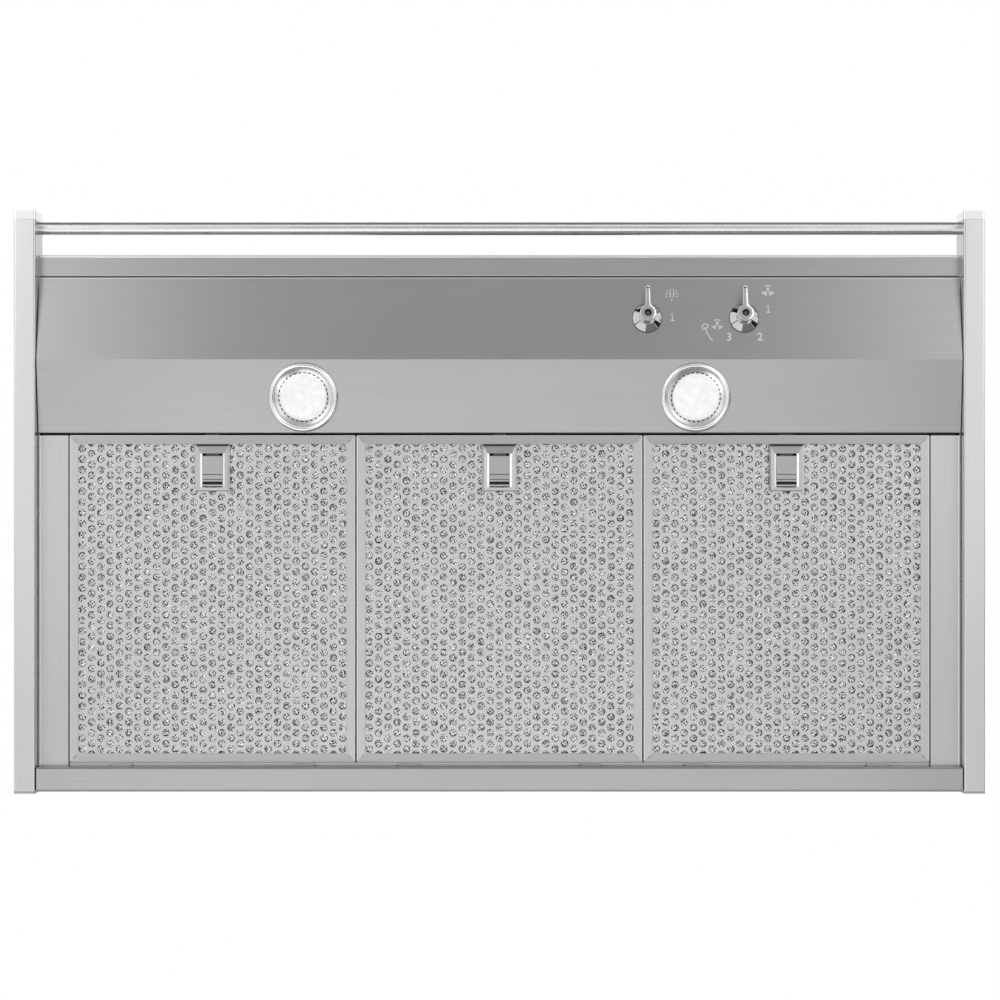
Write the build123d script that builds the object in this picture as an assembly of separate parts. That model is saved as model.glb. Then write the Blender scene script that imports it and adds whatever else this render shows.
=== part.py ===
from build123d import *
from math import acos, atan2, cos, degrees, hypot, radians, sin
import os

# Wall mount range hood, 90 cm wide, seen in use from below.
# X runs to the right of somebody facing the hood, Y runs into the wall, Z is up.
# The origin lies on the wall, in the middle, level with the centre line of the side bars.
# Lengths are in millimetres. A rise is a height above the underside of the side bars.

# Overall sizes
hood_depth = 540.0
sheet = 0.8
face_gap = 0.3
running_fit = 0.05

# Side bars, their caps and the front rail
bar_width = 20.0
bar_height = 40.0
bar_wall = 1.5
bar_corner = 1.2
cap_length = 8.0
cap_bevel = 1.6
rear_cap_length = 2.2
plug_length = 10.0
plug_clearance = 0.3
rail_diameter = 12.0
rail_setback = 14.0
rail_rise = 28.0

# Canopy
canopy_depth = 500.0
canopy_height = 240.0
lip_rise = 19.0
lip_depth = 19.5
lip_upstand = 12.0
bend = 0.6
canopy_top_margin = 4.0
back_thickness = 1.2
back_rise = 16.0
back_hem = 12.0
wall_hole_diameter = 8.0
wall_hole_spacing = 500.0
wall_hole_rise = 110.0

# Folded underside panel, with the control field in front of the ridge and the lamp field behind
panel_seam = 1.0
panel_front_drop = 0.5
ridge_setback = 402.5
ridge_rise = 2.0
panel_rear_setback = 334.2
panel_rear_rise = 13.0
panel_flange = 14.0

# Rear bar and the strips beside the filters
rear_bar_setback = 24.2
rear_bar_height = 22.0
rear_bar_wall = 1.2
rear_bar_corner = 1.4
rear_bar_end_gap = 1.0
infill_width = 27.65
infill_flange = 14.0
infill_inner_flange = 10.0

# Grease filters
filter_count = 3
filter_width = 266.5
filter_gap = 0.9
filter_length = 304.5
filter_front_gap = 2.1
filter_rise = 14.0
filter_thickness = 10.0
frame_wall = 0.8
frame_lip = 8.3
frame_bevel = 0.5
perforated_sheet = 0.6
mesh_thickness = 0.5
mesh_pleats = 22
tab_width = 20.0
tab_thickness = 1.0
tab_reach = 5.0
tab_spacing = 170.0
tab_slot_margin = 2.0
tab_slot_height = 4.0
tab_slot_lift = 1.0

# Latch in each filter
latch_width = 33.0
latch_length = 43.5
latch_depth = 8.2
slide_width = 21.6
slide_length = 31.0
slide_setback = 8.4
slide_thickness = 3.6
slide_recess = 0.4
slide_clearance = 0.3
guide_lip = 1.2
guide_thickness = 1.6
latch_travel = 3.4
latch_cover = 0.8
latch_lip_drop = 0.8
nose_width = 12.0
nose_thickness = 1.4
nose_reach = 1.7
finger_slot_width = 17.0
finger_slot_length = 3.0
finger_slot_depth = 2.0
spring_strip = 0.4
spring_height = 2.2
spring_swing = 1.8
spring_legs = 6
spring_pocket_width = 5.0
latch_bevel = 1.0
latch_ridge_width = 0.6
latch_ridge_height = 0.2
latch_ridge_pitch = 2.4
latch_ridge_offset = 1.2
lug_length = 2.0
lug_offset = 4.0

# Lamps
lamp_spacing = 364.6
lamp_setback = 367.4
bezel_diameter = 65.0
bezel_opening = 54.0
bezel_height = 3.4
bezel_bevel = 2.6
lamp_hole_clearance = 0.4
lamp_glass_clearance = 0.05
can_wall = 0.8
can_depth = 58.0
glass_recess = 1.6
glass_thickness = 2.0
bulb_diameter = 10.0
bulb_length = 28.0
holder_width = 22.0
holder_depth = 16.0

# Knobs and switches
knob_count = 2
knob_first = 137.2
knob_spacing = 90.2
rosette_diameter = 28.0
knob_crown = 2.4
rosette_height = 8.0
rosette_top_diameter = 16.6
hub_diameter = 15.0
knob_height = 20.0
hub_recess_diameter = 6.5
hub_recess_depth = 2.4
lever_reach = 26.0
lever_width = 4.6
lever_tip_width = 4.0
lever_thickness = 4.4
lever_blend = 7.0
spindle_diameter = 6.0
spindle_flat = 1.5
boss_diameter = 9.5
boss_clearance = 0.25
boss_length = 5.0
switch_width = 28.0
switch_depth = 20.0

# Blower
box_width = 270.0
box_depth = 250.0
box_height = 280.0
box_setback = 15.0
box_ledge = 5.0
impeller_diameter = 160.0
impeller_width = 100.0
blade_count = 18
blade_thickness = 1.2
blade_curve = 24.0
blade_root_angle = 92.0
blade_tip_angle = 56.0
blade_folds = 3
flats_per_blade = 3
impeller_ring = 3.0
impeller_plate = 2.0
impeller_hub_diameter = 28.0
impeller_hub_length = 16.0
shaft_diameter = 8.0
shaft_hole_diameter = 20.0
volute_step = 10.0
tongue_gap = 8.0
tongue_angle = 100.0
volute_wall = 2.0
volute_side_gap = 6.0
volute_setback = 130.0
volute_floor_gap = 5.0
volute_outlet_rise = 100.0
inlet_diameter = 124.0
motor_diameter = 84.0
motor_length = 46.0
bracket_thickness = 2.0
bracket_width = 96.0

# Duct collar and its two flaps
collar_outer_diameter = 149.0
collar_wall = 1.5
collar_height = 52.0
collar_flange = 11.0
collar_flange_thickness = 2.0
flap_rise = 12.0
flap_thickness = 1.0
stop_length = 3.0
stop_height = 1.5
flap_edge_gap = 1.0
flap_root_gap = 4.4
knuckle_diameter = 7.0
knuckle_length = 60.0
damper_pin_diameter = 4.0

# Chimney
chimney_width = 300.0
chimney_depth = 285.0
chimney_lower_height = 400.0
chimney_upper_height = 400.0
chimney_show = 50.0
chimney_return = 15.0
chimney_clearance = 0.6
vent_slot_length = 60.0
vent_slot_height = 5.0
vent_slot_count = 5
vent_slot_pitch = 12.0
vent_slot_drop = 14.0
ceiling_bracket_height = 22.0
ceiling_bracket_sheet = 1.5
ceiling_bracket_arm = 60.0
ceiling_slot_spacing = 160.0
ceiling_slot_length = 30.0
ceiling_slot_height = 6.0

# Terminal box and its gland
terminal_box_width = 110.0
terminal_box_depth = 40.0
terminal_box_height = 70.0
terminal_box_rise = 60.0
terminal_box_offset = 95.0
terminal_box_bevel = 3.0
gland_diameter = 20.0
gland_length = 16.0


bar_bottom = -bar_height / 2
bar_top = bar_height / 2
filter_pitch = filter_width + filter_gap
filters_half = filter_pitch * (filter_count - 1) / 2 + filter_width / 2
side_inner = filters_half + filter_gap + infill_width
canopy_half = side_inner + sheet
half_width = canopy_half + bar_width


def level(rise):
    return bar_bottom + rise


def block(x0, x1, y0, y1, z0, z1):
    size = Box(abs(x1 - x0), abs(y1 - y0), abs(z1 - z0))
    return Pos((x0 + x1) / 2, (y0 + y1) / 2, (z0 + z1) / 2) * size


def rod(radius, z0, z1):
    return Pos(0, 0, (z0 + z1) / 2) * Cylinder(radius, z1 - z0)


def tube(outer, inner, z0, z1):
    return rod(outer, z0, z1) - rod(inner, z0, z1)


def rod_along_x(radius, x0, x1, y, z):
    return Pos((x0 + x1) / 2, y, z) * Rot(0, 90, 0) * Cylinder(radius, abs(x1 - x0))


def rod_along_y(radius, x, y0, y1, z):
    return Pos(x, (y0 + y1) / 2, z) * Rot(90, 0, 0) * Cylinder(radius, abs(y1 - y0))


def eased_rectangle(width, height, corner):
    # a rectangle with its corners cut off
    outline = Rectangle(width, height)
    return chamfer(outline.vertices(), corner)


def shifted(points, distance):
    # the path moved to its own left, mitred at each bend
    normals = []
    for start, end in zip(points, points[1:]):
        length = hypot(end[0] - start[0], end[1] - start[1])
        normals.append(((start[1] - end[1]) / length, (end[0] - start[0]) / length))
    moved = []
    for index, point in enumerate(points):
        before = normals[max(index - 1, 0)]
        after = normals[min(index, len(normals) - 1)]
        reach = distance / (1 + before[0] * after[0] + before[1] * after[1])
        moved.append((point[0] + (before[0] + after[0]) * reach,
                      point[1] + (before[1] + after[1]) * reach))
    return moved


def turns_left(points):
    turns = []
    for a, b, c in zip(points, points[1:], points[2:]):
        turns.append((b[0] - a[0]) * (c[1] - b[1]) - (b[1] - a[1]) * (c[0] - b[0]) > 0)
    return turns


def folded(points, thickness, inner_bend):
    # section of a bent sheet: its visible side follows the points, the sheet lies to their left
    left = turns_left(points)
    near_radii = [inner_bend + thickness if turn else inner_bend for turn in left]
    far_radii = [inner_bend if turn else inner_bend + thickness for turn in left]
    near = FilletPolyline(*points, radius=near_radii)
    far = FilletPolyline(*shifted(points, thickness), radius=far_radii)
    return make_face([*near.edges(), Line(near @ 1, far @ 1), *far.edges(), Line(far @ 0, near @ 0)])


def creased(points, thickness):
    # section of a sheet with sharp bends, to the left of its visible side
    return make_face(Polyline(*points, *reversed(shifted(points, thickness)), close=True))


def along_x(section, x0, x1):
    # a section drawn in (y, z), carried from x0 to x1
    return extrude(Plane.YZ.offset(x0) * section, amount=x1 - x0)


def along_y(section, y0, y1):
    # a section drawn in (x, z), carried from y0 to y1
    return extrude(Plane(origin=(0, y1, 0), x_dir=(1, 0, 0), z_dir=(0, -1, 0)) * section, amount=y1 - y0)


def along_z(section, z0, z1):
    # a section drawn in (x, y), carried from z0 to z1
    return extrude(Plane.XY.offset(z0) * section, amount=z1 - z0)


def only(shape):
    # the shape as one plain solid
    solids = shape.solids()
    return solids[0] if len(solids) == 1 else Compound(children=list(solids))


# Places that several pieces share
bar_front = -(hood_depth - cap_length)
bar_rear = -rear_cap_length
rail_y = -(hood_depth - rail_setback)
rail_z = level(rail_rise)
lip_rear = -(canopy_depth - lip_depth)
panel_front = lip_rear + panel_seam
panel_front_z = level(lip_rise - panel_front_drop)
ridge_y = -ridge_setback
panel_rear = -panel_rear_setback
filter_front = panel_rear + filter_front_gap
filter_rear = filter_front + filter_length
filter_bottom = level(filter_rise)
filter_top = filter_bottom + filter_thickness
filter_names = ("filter_left", "filter_center", "filter_right")
filter_centres = [filter_pitch * (index - (filter_count - 1) / 2) for index in range(filter_count)]
slot_bottom = filter_bottom + tab_slot_lift
roof_rise = bar_height
chimney_bottom = level(canopy_height)
box_top = chimney_bottom + box_height
box_centre_y = -(box_setback + box_depth / 2)
canopy_top_half = chimney_width / 2 + canopy_top_margin
canopy_top_depth = chimney_depth + canopy_top_margin


def field(front_y, front_z, rear_y, rear_z, y):
    # a plane on a sloping field of the underside panel, its normal pointing out and down
    slope = atan2(rear_z - front_z, rear_y - front_y)
    z = front_z + (y - front_y) * (rear_z - front_z) / (rear_y - front_y)
    return lambda x: Plane(origin=(x, y, z), x_dir=(1, 0, 0), z_dir=(0, sin(slope), -cos(slope)))


can_radius = bezel_opening / 2 - running_fit
control_y = (panel_front + ridge_y) / 2
control_field = field(panel_front, panel_front_z, ridge_y, level(ridge_rise), control_y)
lamp_field = field(ridge_y, level(ridge_rise), panel_rear, level(panel_rear_rise), -lamp_setback)
knob_places = [knob_first + knob_spacing * index for index in range(knob_count)]
lamp_places = (-lamp_spacing / 2, lamp_spacing / 2)


# Side bars

def side_bar(side):
    centre = side * (half_width - bar_width / 2)
    outside = eased_rectangle(bar_width, bar_height, bar_corner)
    inside = Rectangle(bar_width - 2 * bar_wall, bar_height - 2 * bar_wall)
    bar = along_y(Pos(centre, 0) * (outside - inside), bar_front, bar_rear)
    wall_in = side * canopy_half
    wall_out = side * (canopy_half + bar_wall)
    return bar - rod_along_x(rail_diameter / 2 + running_fit, wall_in, wall_out, rail_y, rail_z)


def bar_end(side, front):
    centre = Pos(side * (half_width - bar_width / 2), 0)
    inset = 2 * (bar_wall + plug_clearance)
    outline = centre * eased_rectangle(bar_width, bar_height, bar_corner)
    plug = centre * Rectangle(bar_width - inset, bar_height - inset)
    if not front:
        return along_y(outline, bar_rear, 0) + along_y(plug, bar_rear - plug_length, bar_rear)
    cap = along_y(outline, -hood_depth, bar_front)
    cap = chamfer(cap.faces().sort_by(Axis.Y)[0].edges(), cap_bevel)
    return cap + along_y(plug, bar_front, bar_front + plug_length)


def front_rail():
    reach = canopy_half + bar_wall
    return rod_along_x(rail_diameter / 2, -reach, reach, rail_y, rail_z)


# Canopy

def roof(inset_side, inset_front):
    # a hip roof with an upright rear: a side profile and a front profile, carried through each other
    low = level(roof_rise)
    base_half = canopy_half - inset_side
    top_half = canopy_top_half - inset_side
    base_front = inset_front - canopy_depth
    top_front = inset_front - canopy_top_depth
    side_profile = make_face(Polyline((base_front, low), (-back_thickness, low), (-back_thickness, chimney_bottom),
                                      (top_front, chimney_bottom), close=True))
    front_profile = make_face(Polyline((-base_half, low), (base_half, low), (top_half, chimney_bottom),
                                       (-top_half, chimney_bottom), close=True))
    return along_x(side_profile, -base_half, base_half) & along_y(front_profile, base_front, -back_thickness)


def canopy_shell():
    rise = canopy_height - roof_rise
    side_run = canopy_half - canopy_top_half
    front_run = canopy_depth - canopy_top_depth
    shell = roof(0, 0) - roof(sheet * hypot(side_run, rise) / rise, sheet * hypot(front_run, rise) / rise)
    front_band = folded([(-canopy_depth, level(roof_rise)), (-canopy_depth, level(lip_rise)),
                         (lip_rear, level(lip_rise)), (lip_rear, level(lip_rise + lip_upstand))], sheet, bend)
    shell += along_x(front_band, -canopy_half, canopy_half)
    for side in (-1, 1):
        shell += block(side * side_inner, side * canopy_half, -(canopy_depth - sheet - bend), -back_thickness,
                       level(lip_rise), level(roof_rise))
    top_plate = block(-canopy_top_half, canopy_top_half, -canopy_top_depth, -back_thickness,
                      chimney_bottom - sheet, chimney_bottom)
    shell += top_plate
    shell -= block(-box_width / 2 + box_ledge, box_width / 2 - box_ledge, -(box_setback + box_depth - box_ledge),
                   -(box_setback + box_ledge), chimney_bottom - 2 * sheet, chimney_bottom + sheet)
    return shell


def back_panel():
    low = level(back_rise)
    shoulder = level(roof_rise)
    outline = make_face(Polyline((-canopy_half, low), (canopy_half, low), (canopy_half, shoulder),
                                 (canopy_top_half, chimney_bottom), (-canopy_top_half, chimney_bottom),
                                 (-canopy_half, shoulder), close=True))
    panel = along_y(outline, -back_thickness, 0)
    hem_half = canopy_half - rear_bar_end_gap
    panel += block(-hem_half, hem_half, -2 * back_thickness, -back_thickness, low, low + back_hem)
    for side in (-1, 1):
        panel -= rod_along_y(wall_hole_diameter / 2, side * wall_hole_spacing / 2, -2 * back_thickness,
                             back_thickness, level(wall_hole_rise))
    return panel


# Underside

def underside_panel():
    path = [(panel_front, panel_front_z + lip_upstand), (panel_front, panel_front_z),
            (ridge_y, level(ridge_rise)), (panel_rear, level(panel_rear_rise)),
            (panel_rear, level(panel_rear_rise) + panel_flange)]
    panel = along_x(folded(path, sheet, bend), -side_inner, side_inner)
    for x in knob_places:
        hole = along_z(RegularPolygon(boss_diameter / 2 + boss_clearance, 6), -2 * sheet, sheet)
        panel -= control_field(x).location * hole
    for x in lamp_places:
        hole = rod(can_radius + lamp_hole_clearance, -2 * sheet, sheet)
        panel -= lamp_field(x).location * hole
    keeper_half = nose_width / 2 + 1.5 * slide_clearance
    for x in filter_centres:
        panel -= block(x - keeper_half, x + keeper_half, panel_rear - 2 * sheet, panel_rear + sheet,
                       nose_bottom - slide_clearance, nose_bottom + nose_thickness + slide_clearance)
    return panel


def side_infill(side):
    outer = side_inner
    inner = filters_half + filter_gap
    path = [(inner, filter_bottom + infill_inner_flange), (inner, filter_bottom), (outer, filter_bottom),
            (outer, filter_bottom + infill_flange)]
    strip = along_y(creased(path, sheet), filter_front, -(rear_bar_setback + face_gap))
    return strip if side > 0 else mirror(strip, about=Plane.YZ)


def rear_bar():
    depth = rear_bar_setback - 2 * back_thickness
    centre = Pos(-(rear_bar_setback - depth / 2), level(rear_bar_height / 2))
    outside = eased_rectangle(depth, rear_bar_height, rear_bar_corner)
    inside = Rectangle(depth - 2 * rear_bar_wall, rear_bar_height - 2 * rear_bar_wall)
    half = canopy_half - rear_bar_end_gap
    bar = along_x(centre * (outside - inside), -half, half)
    slot_half = tab_width / 2 + tab_slot_margin
    for x in filter_centres:
        for side in (-1, 1):
            middle = x + side * tab_spacing / 2
            bar -= block(middle - slot_half, middle + slot_half, -rear_bar_setback - rear_bar_wall,
                         -rear_bar_setback + rear_bar_wall, slot_bottom, slot_bottom + tab_slot_height)
    return bar


# Grease filters, drawn about X = 0 and then moved to their places

latch_front = filter_front + frame_lip
latch_rear = latch_front + latch_length
slide_front = latch_front + slide_setback
slide_rear = slide_front + slide_length
slide_bottom = filter_bottom + slide_recess
slide_top = slide_bottom + slide_thickness
guide_bottom = slide_top - guide_thickness
nose_bottom = slide_top - nose_thickness
nose_tip = filter_front - nose_reach
pocket_top = slide_top + spring_height + 2 * slide_clearance
lug_rear = slide_front + lug_offset + lug_length
spring_front = lug_rear + latch_travel + slide_clearance
spring_rear = slide_rear - lug_length


def filter_frame():
    half = filter_width / 2
    frame = block(-half, half, filter_front, filter_rear, filter_bottom, filter_top)
    outer_edges = frame.faces().sort_by(Axis.Z)[0].edges() + frame.faces().sort_by(Axis.Z)[-1].edges()
    frame = chamfer(outer_edges, frame_bevel)
    frame -= block(-half + frame_wall, half - frame_wall, filter_front + frame_wall, filter_rear - frame_wall,
                   filter_bottom + frame_wall, filter_top - frame_wall)
    frame -= block(-half + frame_lip, half - frame_lip, filter_front + frame_lip, filter_rear - frame_lip,
                   filter_bottom - frame_wall, filter_top + frame_wall)
    nose_half = nose_width / 2 + slide_clearance
    frame -= block(-nose_half, nose_half, filter_front - frame_wall, filter_front + frame_wall,
                   nose_bottom - slide_clearance, nose_bottom + nose_thickness + slide_clearance)
    for side in (-1, 1):
        middle = side * tab_spacing / 2
        frame += block(middle - tab_width / 2, middle + tab_width / 2, filter_rear - frame_wall,
                       -rear_bar_setback + tab_reach, slot_bottom + face_gap,
                       slot_bottom + face_gap + tab_thickness)
    return frame


def latch_cutout():
    half = latch_width / 2 + slide_clearance
    return block(-half, half, filter_front, latch_rear + slide_clearance, filter_bottom - frame_wall,
                 filter_bottom + latch_depth + slide_clearance)


def filter_sheets():
    half = filter_width / 2 - frame_wall
    low = filter_bottom + frame_wall
    high = filter_top - frame_wall
    face = block(-half, half, filter_front + frame_wall, filter_rear - frame_wall, low, low + perforated_sheet)
    back = block(-half, half, filter_front + frame_wall, filter_rear - frame_wall, high - perforated_sheet, high)
    return [only(face - latch_cutout()), only(back)]


def filter_mesh():
    # a pleated sheet of aluminium mesh that fills the space between the two perforated sheets
    half = filter_width / 2 - frame_wall
    front = filter_front + frame_wall + mesh_thickness
    pitch = (filter_rear - frame_wall - mesh_thickness - front) / mesh_pleats
    middle = (filter_bottom + filter_top - mesh_thickness) / 2
    swing = filter_thickness / 2 - frame_wall - perforated_sheet - mesh_thickness
    points = []
    for pleat in range(mesh_pleats + 1):
        points.append((front + pleat * pitch, middle + (swing if pleat % 2 else -swing)))
    return along_x(creased(points, mesh_thickness), -half, half) - latch_cutout()


def latch_plate():
    half = latch_width / 2
    plate = block(-half, half, latch_front, latch_rear, filter_bottom, filter_bottom + latch_depth)
    plate = chamfer(plate.faces().sort_by(Axis.Z)[0].edges(), latch_bevel)
    guide_half = slide_width / 2 + slide_clearance
    travel_end = slide_rear + latch_travel + slide_clearance
    plate -= block(-guide_half, guide_half, slide_front - slide_clearance, slide_rear + slide_clearance,
                   filter_bottom - slide_recess, slide_top + slide_clearance)
    plate -= block(-guide_half, guide_half, slide_rear, travel_end, filter_bottom + latch_cover,
                   slide_top + slide_clearance)
    flange_half = guide_half + guide_lip
    plate -= block(-flange_half, flange_half, slide_front - slide_clearance, travel_end,
                   guide_bottom - slide_clearance, slide_top + slide_clearance)
    nose_half = nose_width / 2 + slide_clearance
    plate -= block(-nose_half, nose_half, latch_front - slide_clearance, slide_front,
                   nose_bottom - slide_clearance, slide_top + slide_clearance)
    pocket_half = spring_pocket_width / 2
    plate -= block(-pocket_half, pocket_half, lug_rear - lug_length - slide_clearance, spring_rear + running_fit,
                   slide_top, pocket_top)
    return plate


def latch_slide():
    half = slide_width / 2
    pad = block(-half, half, slide_front, slide_rear, slide_bottom, slide_top)
    pad += block(-half - guide_lip, half + guide_lip, slide_front, slide_rear, guide_bottom, slide_top)
    slot_rear = slide_rear - 2 * slide_recess - finger_slot_length / 2
    pad -= block(-finger_slot_width / 2, finger_slot_width / 2, slot_rear - finger_slot_length, slot_rear,
                 slide_bottom, slide_bottom + finger_slot_depth)
    # the rear of the slide runs lower, under the plate's cover
    pad -= block(-half, half, slide_rear - latch_travel - slide_clearance, slide_rear,
                 slide_bottom - slide_recess, slide_bottom + latch_lip_drop)
    for ridge in (0, 1):
        middle = slot_rear - finger_slot_length - latch_ridge_offset - ridge * latch_ridge_pitch
        pad += block(-half, half, middle - latch_ridge_width / 2, middle + latch_ridge_width / 2,
                     slide_bottom - latch_ridge_height, slide_bottom)
    pad += block(-nose_width / 2, nose_width / 2, nose_tip, slide_front, nose_bottom, slide_top)
    lug_half = spring_pocket_width / 2 - slide_clearance
    pad += block(-lug_half, lug_half, lug_rear - lug_length, lug_rear, slide_top, pocket_top - slide_clearance)
    return pad


def latch_spring():
    # a flat strip folded to and fro against the end of its pocket, as short as the pulled slide presses it
    step = (spring_rear - spring_front - 2 * running_fit) / spring_legs
    path = []
    for leg in range(spring_legs + 1):
        swing = spring_swing if leg % 2 else -spring_swing
        path.append((swing, spring_front + running_fit + leg * step))
    low = slide_top + slide_clearance
    return along_z(creased(path, spring_strip), low, low + spring_height)


# Lamps, drawn on the lamp field's plane with Z out of the hood

glass_radius = can_radius - can_wall - lamp_glass_clearance


def lamp_bezel():
    ring = bezel_diameter / 2
    opening = bezel_opening / 2
    profile = Polyline((opening, 0), (ring, 0), (ring - bezel_bevel, bezel_height), (opening, bezel_height),
                       close=True)
    return revolve(Plane.XZ * make_face(profile), axis=Axis.Z)


def lamp_can():
    return rod(can_radius, -can_depth, 0) - rod(can_radius - can_wall, -can_depth + can_wall, 0)


def lamp_glass():
    return rod(glass_radius, -glass_recess - glass_thickness, -glass_recess)


def lamp_bulb():
    # a small capsule bulb in its ceramic holder, which stands on the end of the can
    low = -can_depth + can_wall
    high = low + holder_depth
    half = holder_width / 2
    return block(-half, half, -half, half, low, high) + rod(bulb_diameter / 2, high, high + bulb_length)


# Knobs, drawn on the control field's plane with Z out of the hood and Y towards the front

# The switch's boss is six-sided, as are the holes that it fits, so nothing turns with the knob.

boss_radius = boss_diameter / 2
spindle_radius = spindle_diameter / 2


def rosette():
    cone = Pos(0, 0, rosette_height / 2) * Cone(rosette_diameter / 2, rosette_top_diameter / 2, rosette_height)
    return cone - along_z(RegularPolygon(boss_radius + running_fit, 6), 0, rosette_height)


def flatted_rod(radius, flat, z0, z1):
    # a round rod with one flat along its front side
    return rod(radius, z0, z1) - block(-radius, radius, radius - flat, 2 * radius, z0, z1)


def knob():
    low = rosette_height + face_gap
    hub_radius = hub_diameter / 2
    hub = rod(hub_radius, low, knob_height)
    lever = make_face(Polyline((-lever_width / 2, 0), (lever_width / 2, 0), (lever_tip_width / 2, lever_reach),
                               (-lever_tip_width / 2, lever_reach), close=True))
    outline = Circle(hub_radius) + lever
    inner_corners = outline.vertices().filter_by(
        lambda corner: abs(hypot(corner.X, corner.Y) - hub_radius) < 0.01 and corner.Y > 0)
    outline = fillet(inner_corners, lever_blend)
    arm = along_z(outline, knob_height - lever_thickness, knob_height)
    body = hub + arm
    body -= rod(hub_recess_diameter / 2, knob_height - hub_recess_depth, knob_height)
    bore_top = knob_height - hub_recess_depth - knob_crown
    body -= flatted_rod(spindle_radius + running_fit, spindle_flat, low, bore_top)
    return body


def spindle():
    bore_top = knob_height - hub_recess_depth - knob_crown
    inside = -(sheet + switch_depth / 2)
    return (rod(spindle_radius, inside, rosette_height + face_gap)
            + flatted_rod(spindle_radius, spindle_flat + running_fit, rosette_height + face_gap,
                          bore_top - face_gap))


def switch():
    half = switch_width / 2
    body = block(-half, half, -half, half, -sheet - switch_depth, -sheet)
    body += along_z(RegularPolygon(boss_radius, 6), -sheet, boss_length)
    body -= rod(spindle_radius + running_fit, -(sheet + switch_depth / 2) - face_gap, boss_length)
    return body


# Blower. The volute is drawn in (y, z) about the shaft: three quarter arcs whose centres sit on the
# corners of a small square, each one step larger than the last, running up into the outlet.

impeller_radius = impeller_diameter / 2
first_arc = impeller_radius + tongue_gap + volute_step / 2
volute_half_width = impeller_width / 2 + volute_side_gap
volute_y = -volute_setback
volute_z = chimney_bottom + volute_floor_gap + first_arc + 1.5 * volute_step + volute_wall
outlet_z = volute_outlet_rise
outlet_left = -(first_arc + 2.5 * volute_step)
tongue_y = volute_step / 2 + first_arc * cos(radians(tongue_angle))


def volute_outline(grow):
    # the air path, grown outwards by a wall where one is asked for
    half_step = volute_step / 2
    left = outlet_left - grow
    right = tongue_y + grow
    starts = (degrees(acos((right - half_step) / (first_arc + grow))), 0, -90)
    centres = ((half_step, -half_step), (-half_step, -half_step), (-half_step, half_step))
    arcs = []
    for index, (centre, start) in enumerate(zip(centres, starts)):
        radius = first_arc + index * volute_step + grow
        arcs.append(CenterArc(centre, radius, start, -start if index == 0 else -90))
    return make_face([*arcs, Line(arcs[-1] @ 1, (left, outlet_z)), Line((left, outlet_z), (right, outlet_z)),
                      Line((right, outlet_z), arcs[0] @ 0)])


def outlet_duct(grow):
    # a square duct that leans from the volute's outlet to the collar
    low = volute_z + outlet_z
    high = box_top - sheet
    half = volute_half_width + grow
    leaning = make_face(Polyline((volute_y + outlet_left - grow, low), (volute_y + tongue_y + grow, low),
                                 (box_centre_y + half, high), (box_centre_y - half, high), close=True))
    return along_x(leaning, -half, half)


collar_radius = collar_outer_diameter / 2
collar_inner = collar_radius - collar_wall


def scroll_housing():
    place = Pos(0, volute_y, volute_z)
    outer_half = volute_half_width + volute_wall
    housing = place * along_x(volute_outline(volute_wall), -outer_half, outer_half)
    housing += outlet_duct(volute_wall)
    housing -= place * along_x(volute_outline(0), -volute_half_width, volute_half_width)
    housing -= outlet_duct(0)
    housing -= rod_along_x(inlet_diameter / 2, -2 * outer_half, 0, volute_y, volute_z)
    housing -= rod_along_x(shaft_hole_diameter / 2, 0, 2 * outer_half, volute_y, volute_z)
    return housing


def blade():
    # a strip folded along an arc, leaning forwards in the direction in which the wheel turns
    outer_curve = blade_curve + blade_thickness / 2
    centre_y = impeller_radius - impeller_ring / 2 - outer_curve * cos(radians(blade_tip_angle))
    path = []
    for fold in range(blade_folds + 1):
        angle = radians(blade_tip_angle + (blade_root_angle - blade_tip_angle) * fold / blade_folds)
        path.append((centre_y + outer_curve * cos(angle), -blade_curve + outer_curve * sin(angle)))
    return creased(path, blade_thickness)


def impeller():
    # a back plate on the motor's side, a ring round the inlet, and the blades between them;
    # the plate and the ring have three short flats to each blade
    half = impeller_width / 2
    outline = RegularPolygon(impeller_radius, flats_per_blade * blade_count)
    opening = RegularPolygon(impeller_radius - 2 * impeller_ring, flats_per_blade * blade_count)
    plate = along_x(outline, half - impeller_plate, half)
    hub = along_x(Circle(impeller_hub_diameter / 2), half - impeller_hub_length, half)
    ring = along_x(outline - opening, -half, -half + impeller_ring)
    one_blade = blade()
    blades = []
    for index in range(blade_count):
        turned = Rot(0, 0, index * 360 / blade_count) * one_blade
        blades.append(along_x(turned, -half + impeller_ring, half - impeller_plate))
    wheel = plate.fuse(hub, ring, *blades)
    wheel = wheel - along_x(Circle(shaft_diameter / 2 + running_fit / 2), -half, half)
    return Pos(0, volute_y, volute_z) * wheel


housing_side = volute_half_width + volute_wall
motor_start = housing_side + bracket_thickness


def motor_bracket():
    plate = Rectangle(bracket_width, bracket_width) - Circle(shaft_hole_diameter / 2)
    return Pos(0, volute_y, volute_z) * along_x(plate, housing_side, motor_start)


def motor():
    body = along_x(Circle(motor_diameter / 2), motor_start, motor_start + motor_length)
    body -= along_x(Circle(shaft_diameter / 2 + running_fit), motor_start - 1, motor_start + motor_length / 2)
    return Pos(0, volute_y, volute_z) * body


def motor_shaft():
    start = impeller_width / 2 - impeller_hub_length
    shaft = along_x(Circle(shaft_diameter / 2), start, motor_start + motor_length / 2 - face_gap)
    return Pos(0, volute_y, volute_z) * shaft


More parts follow.
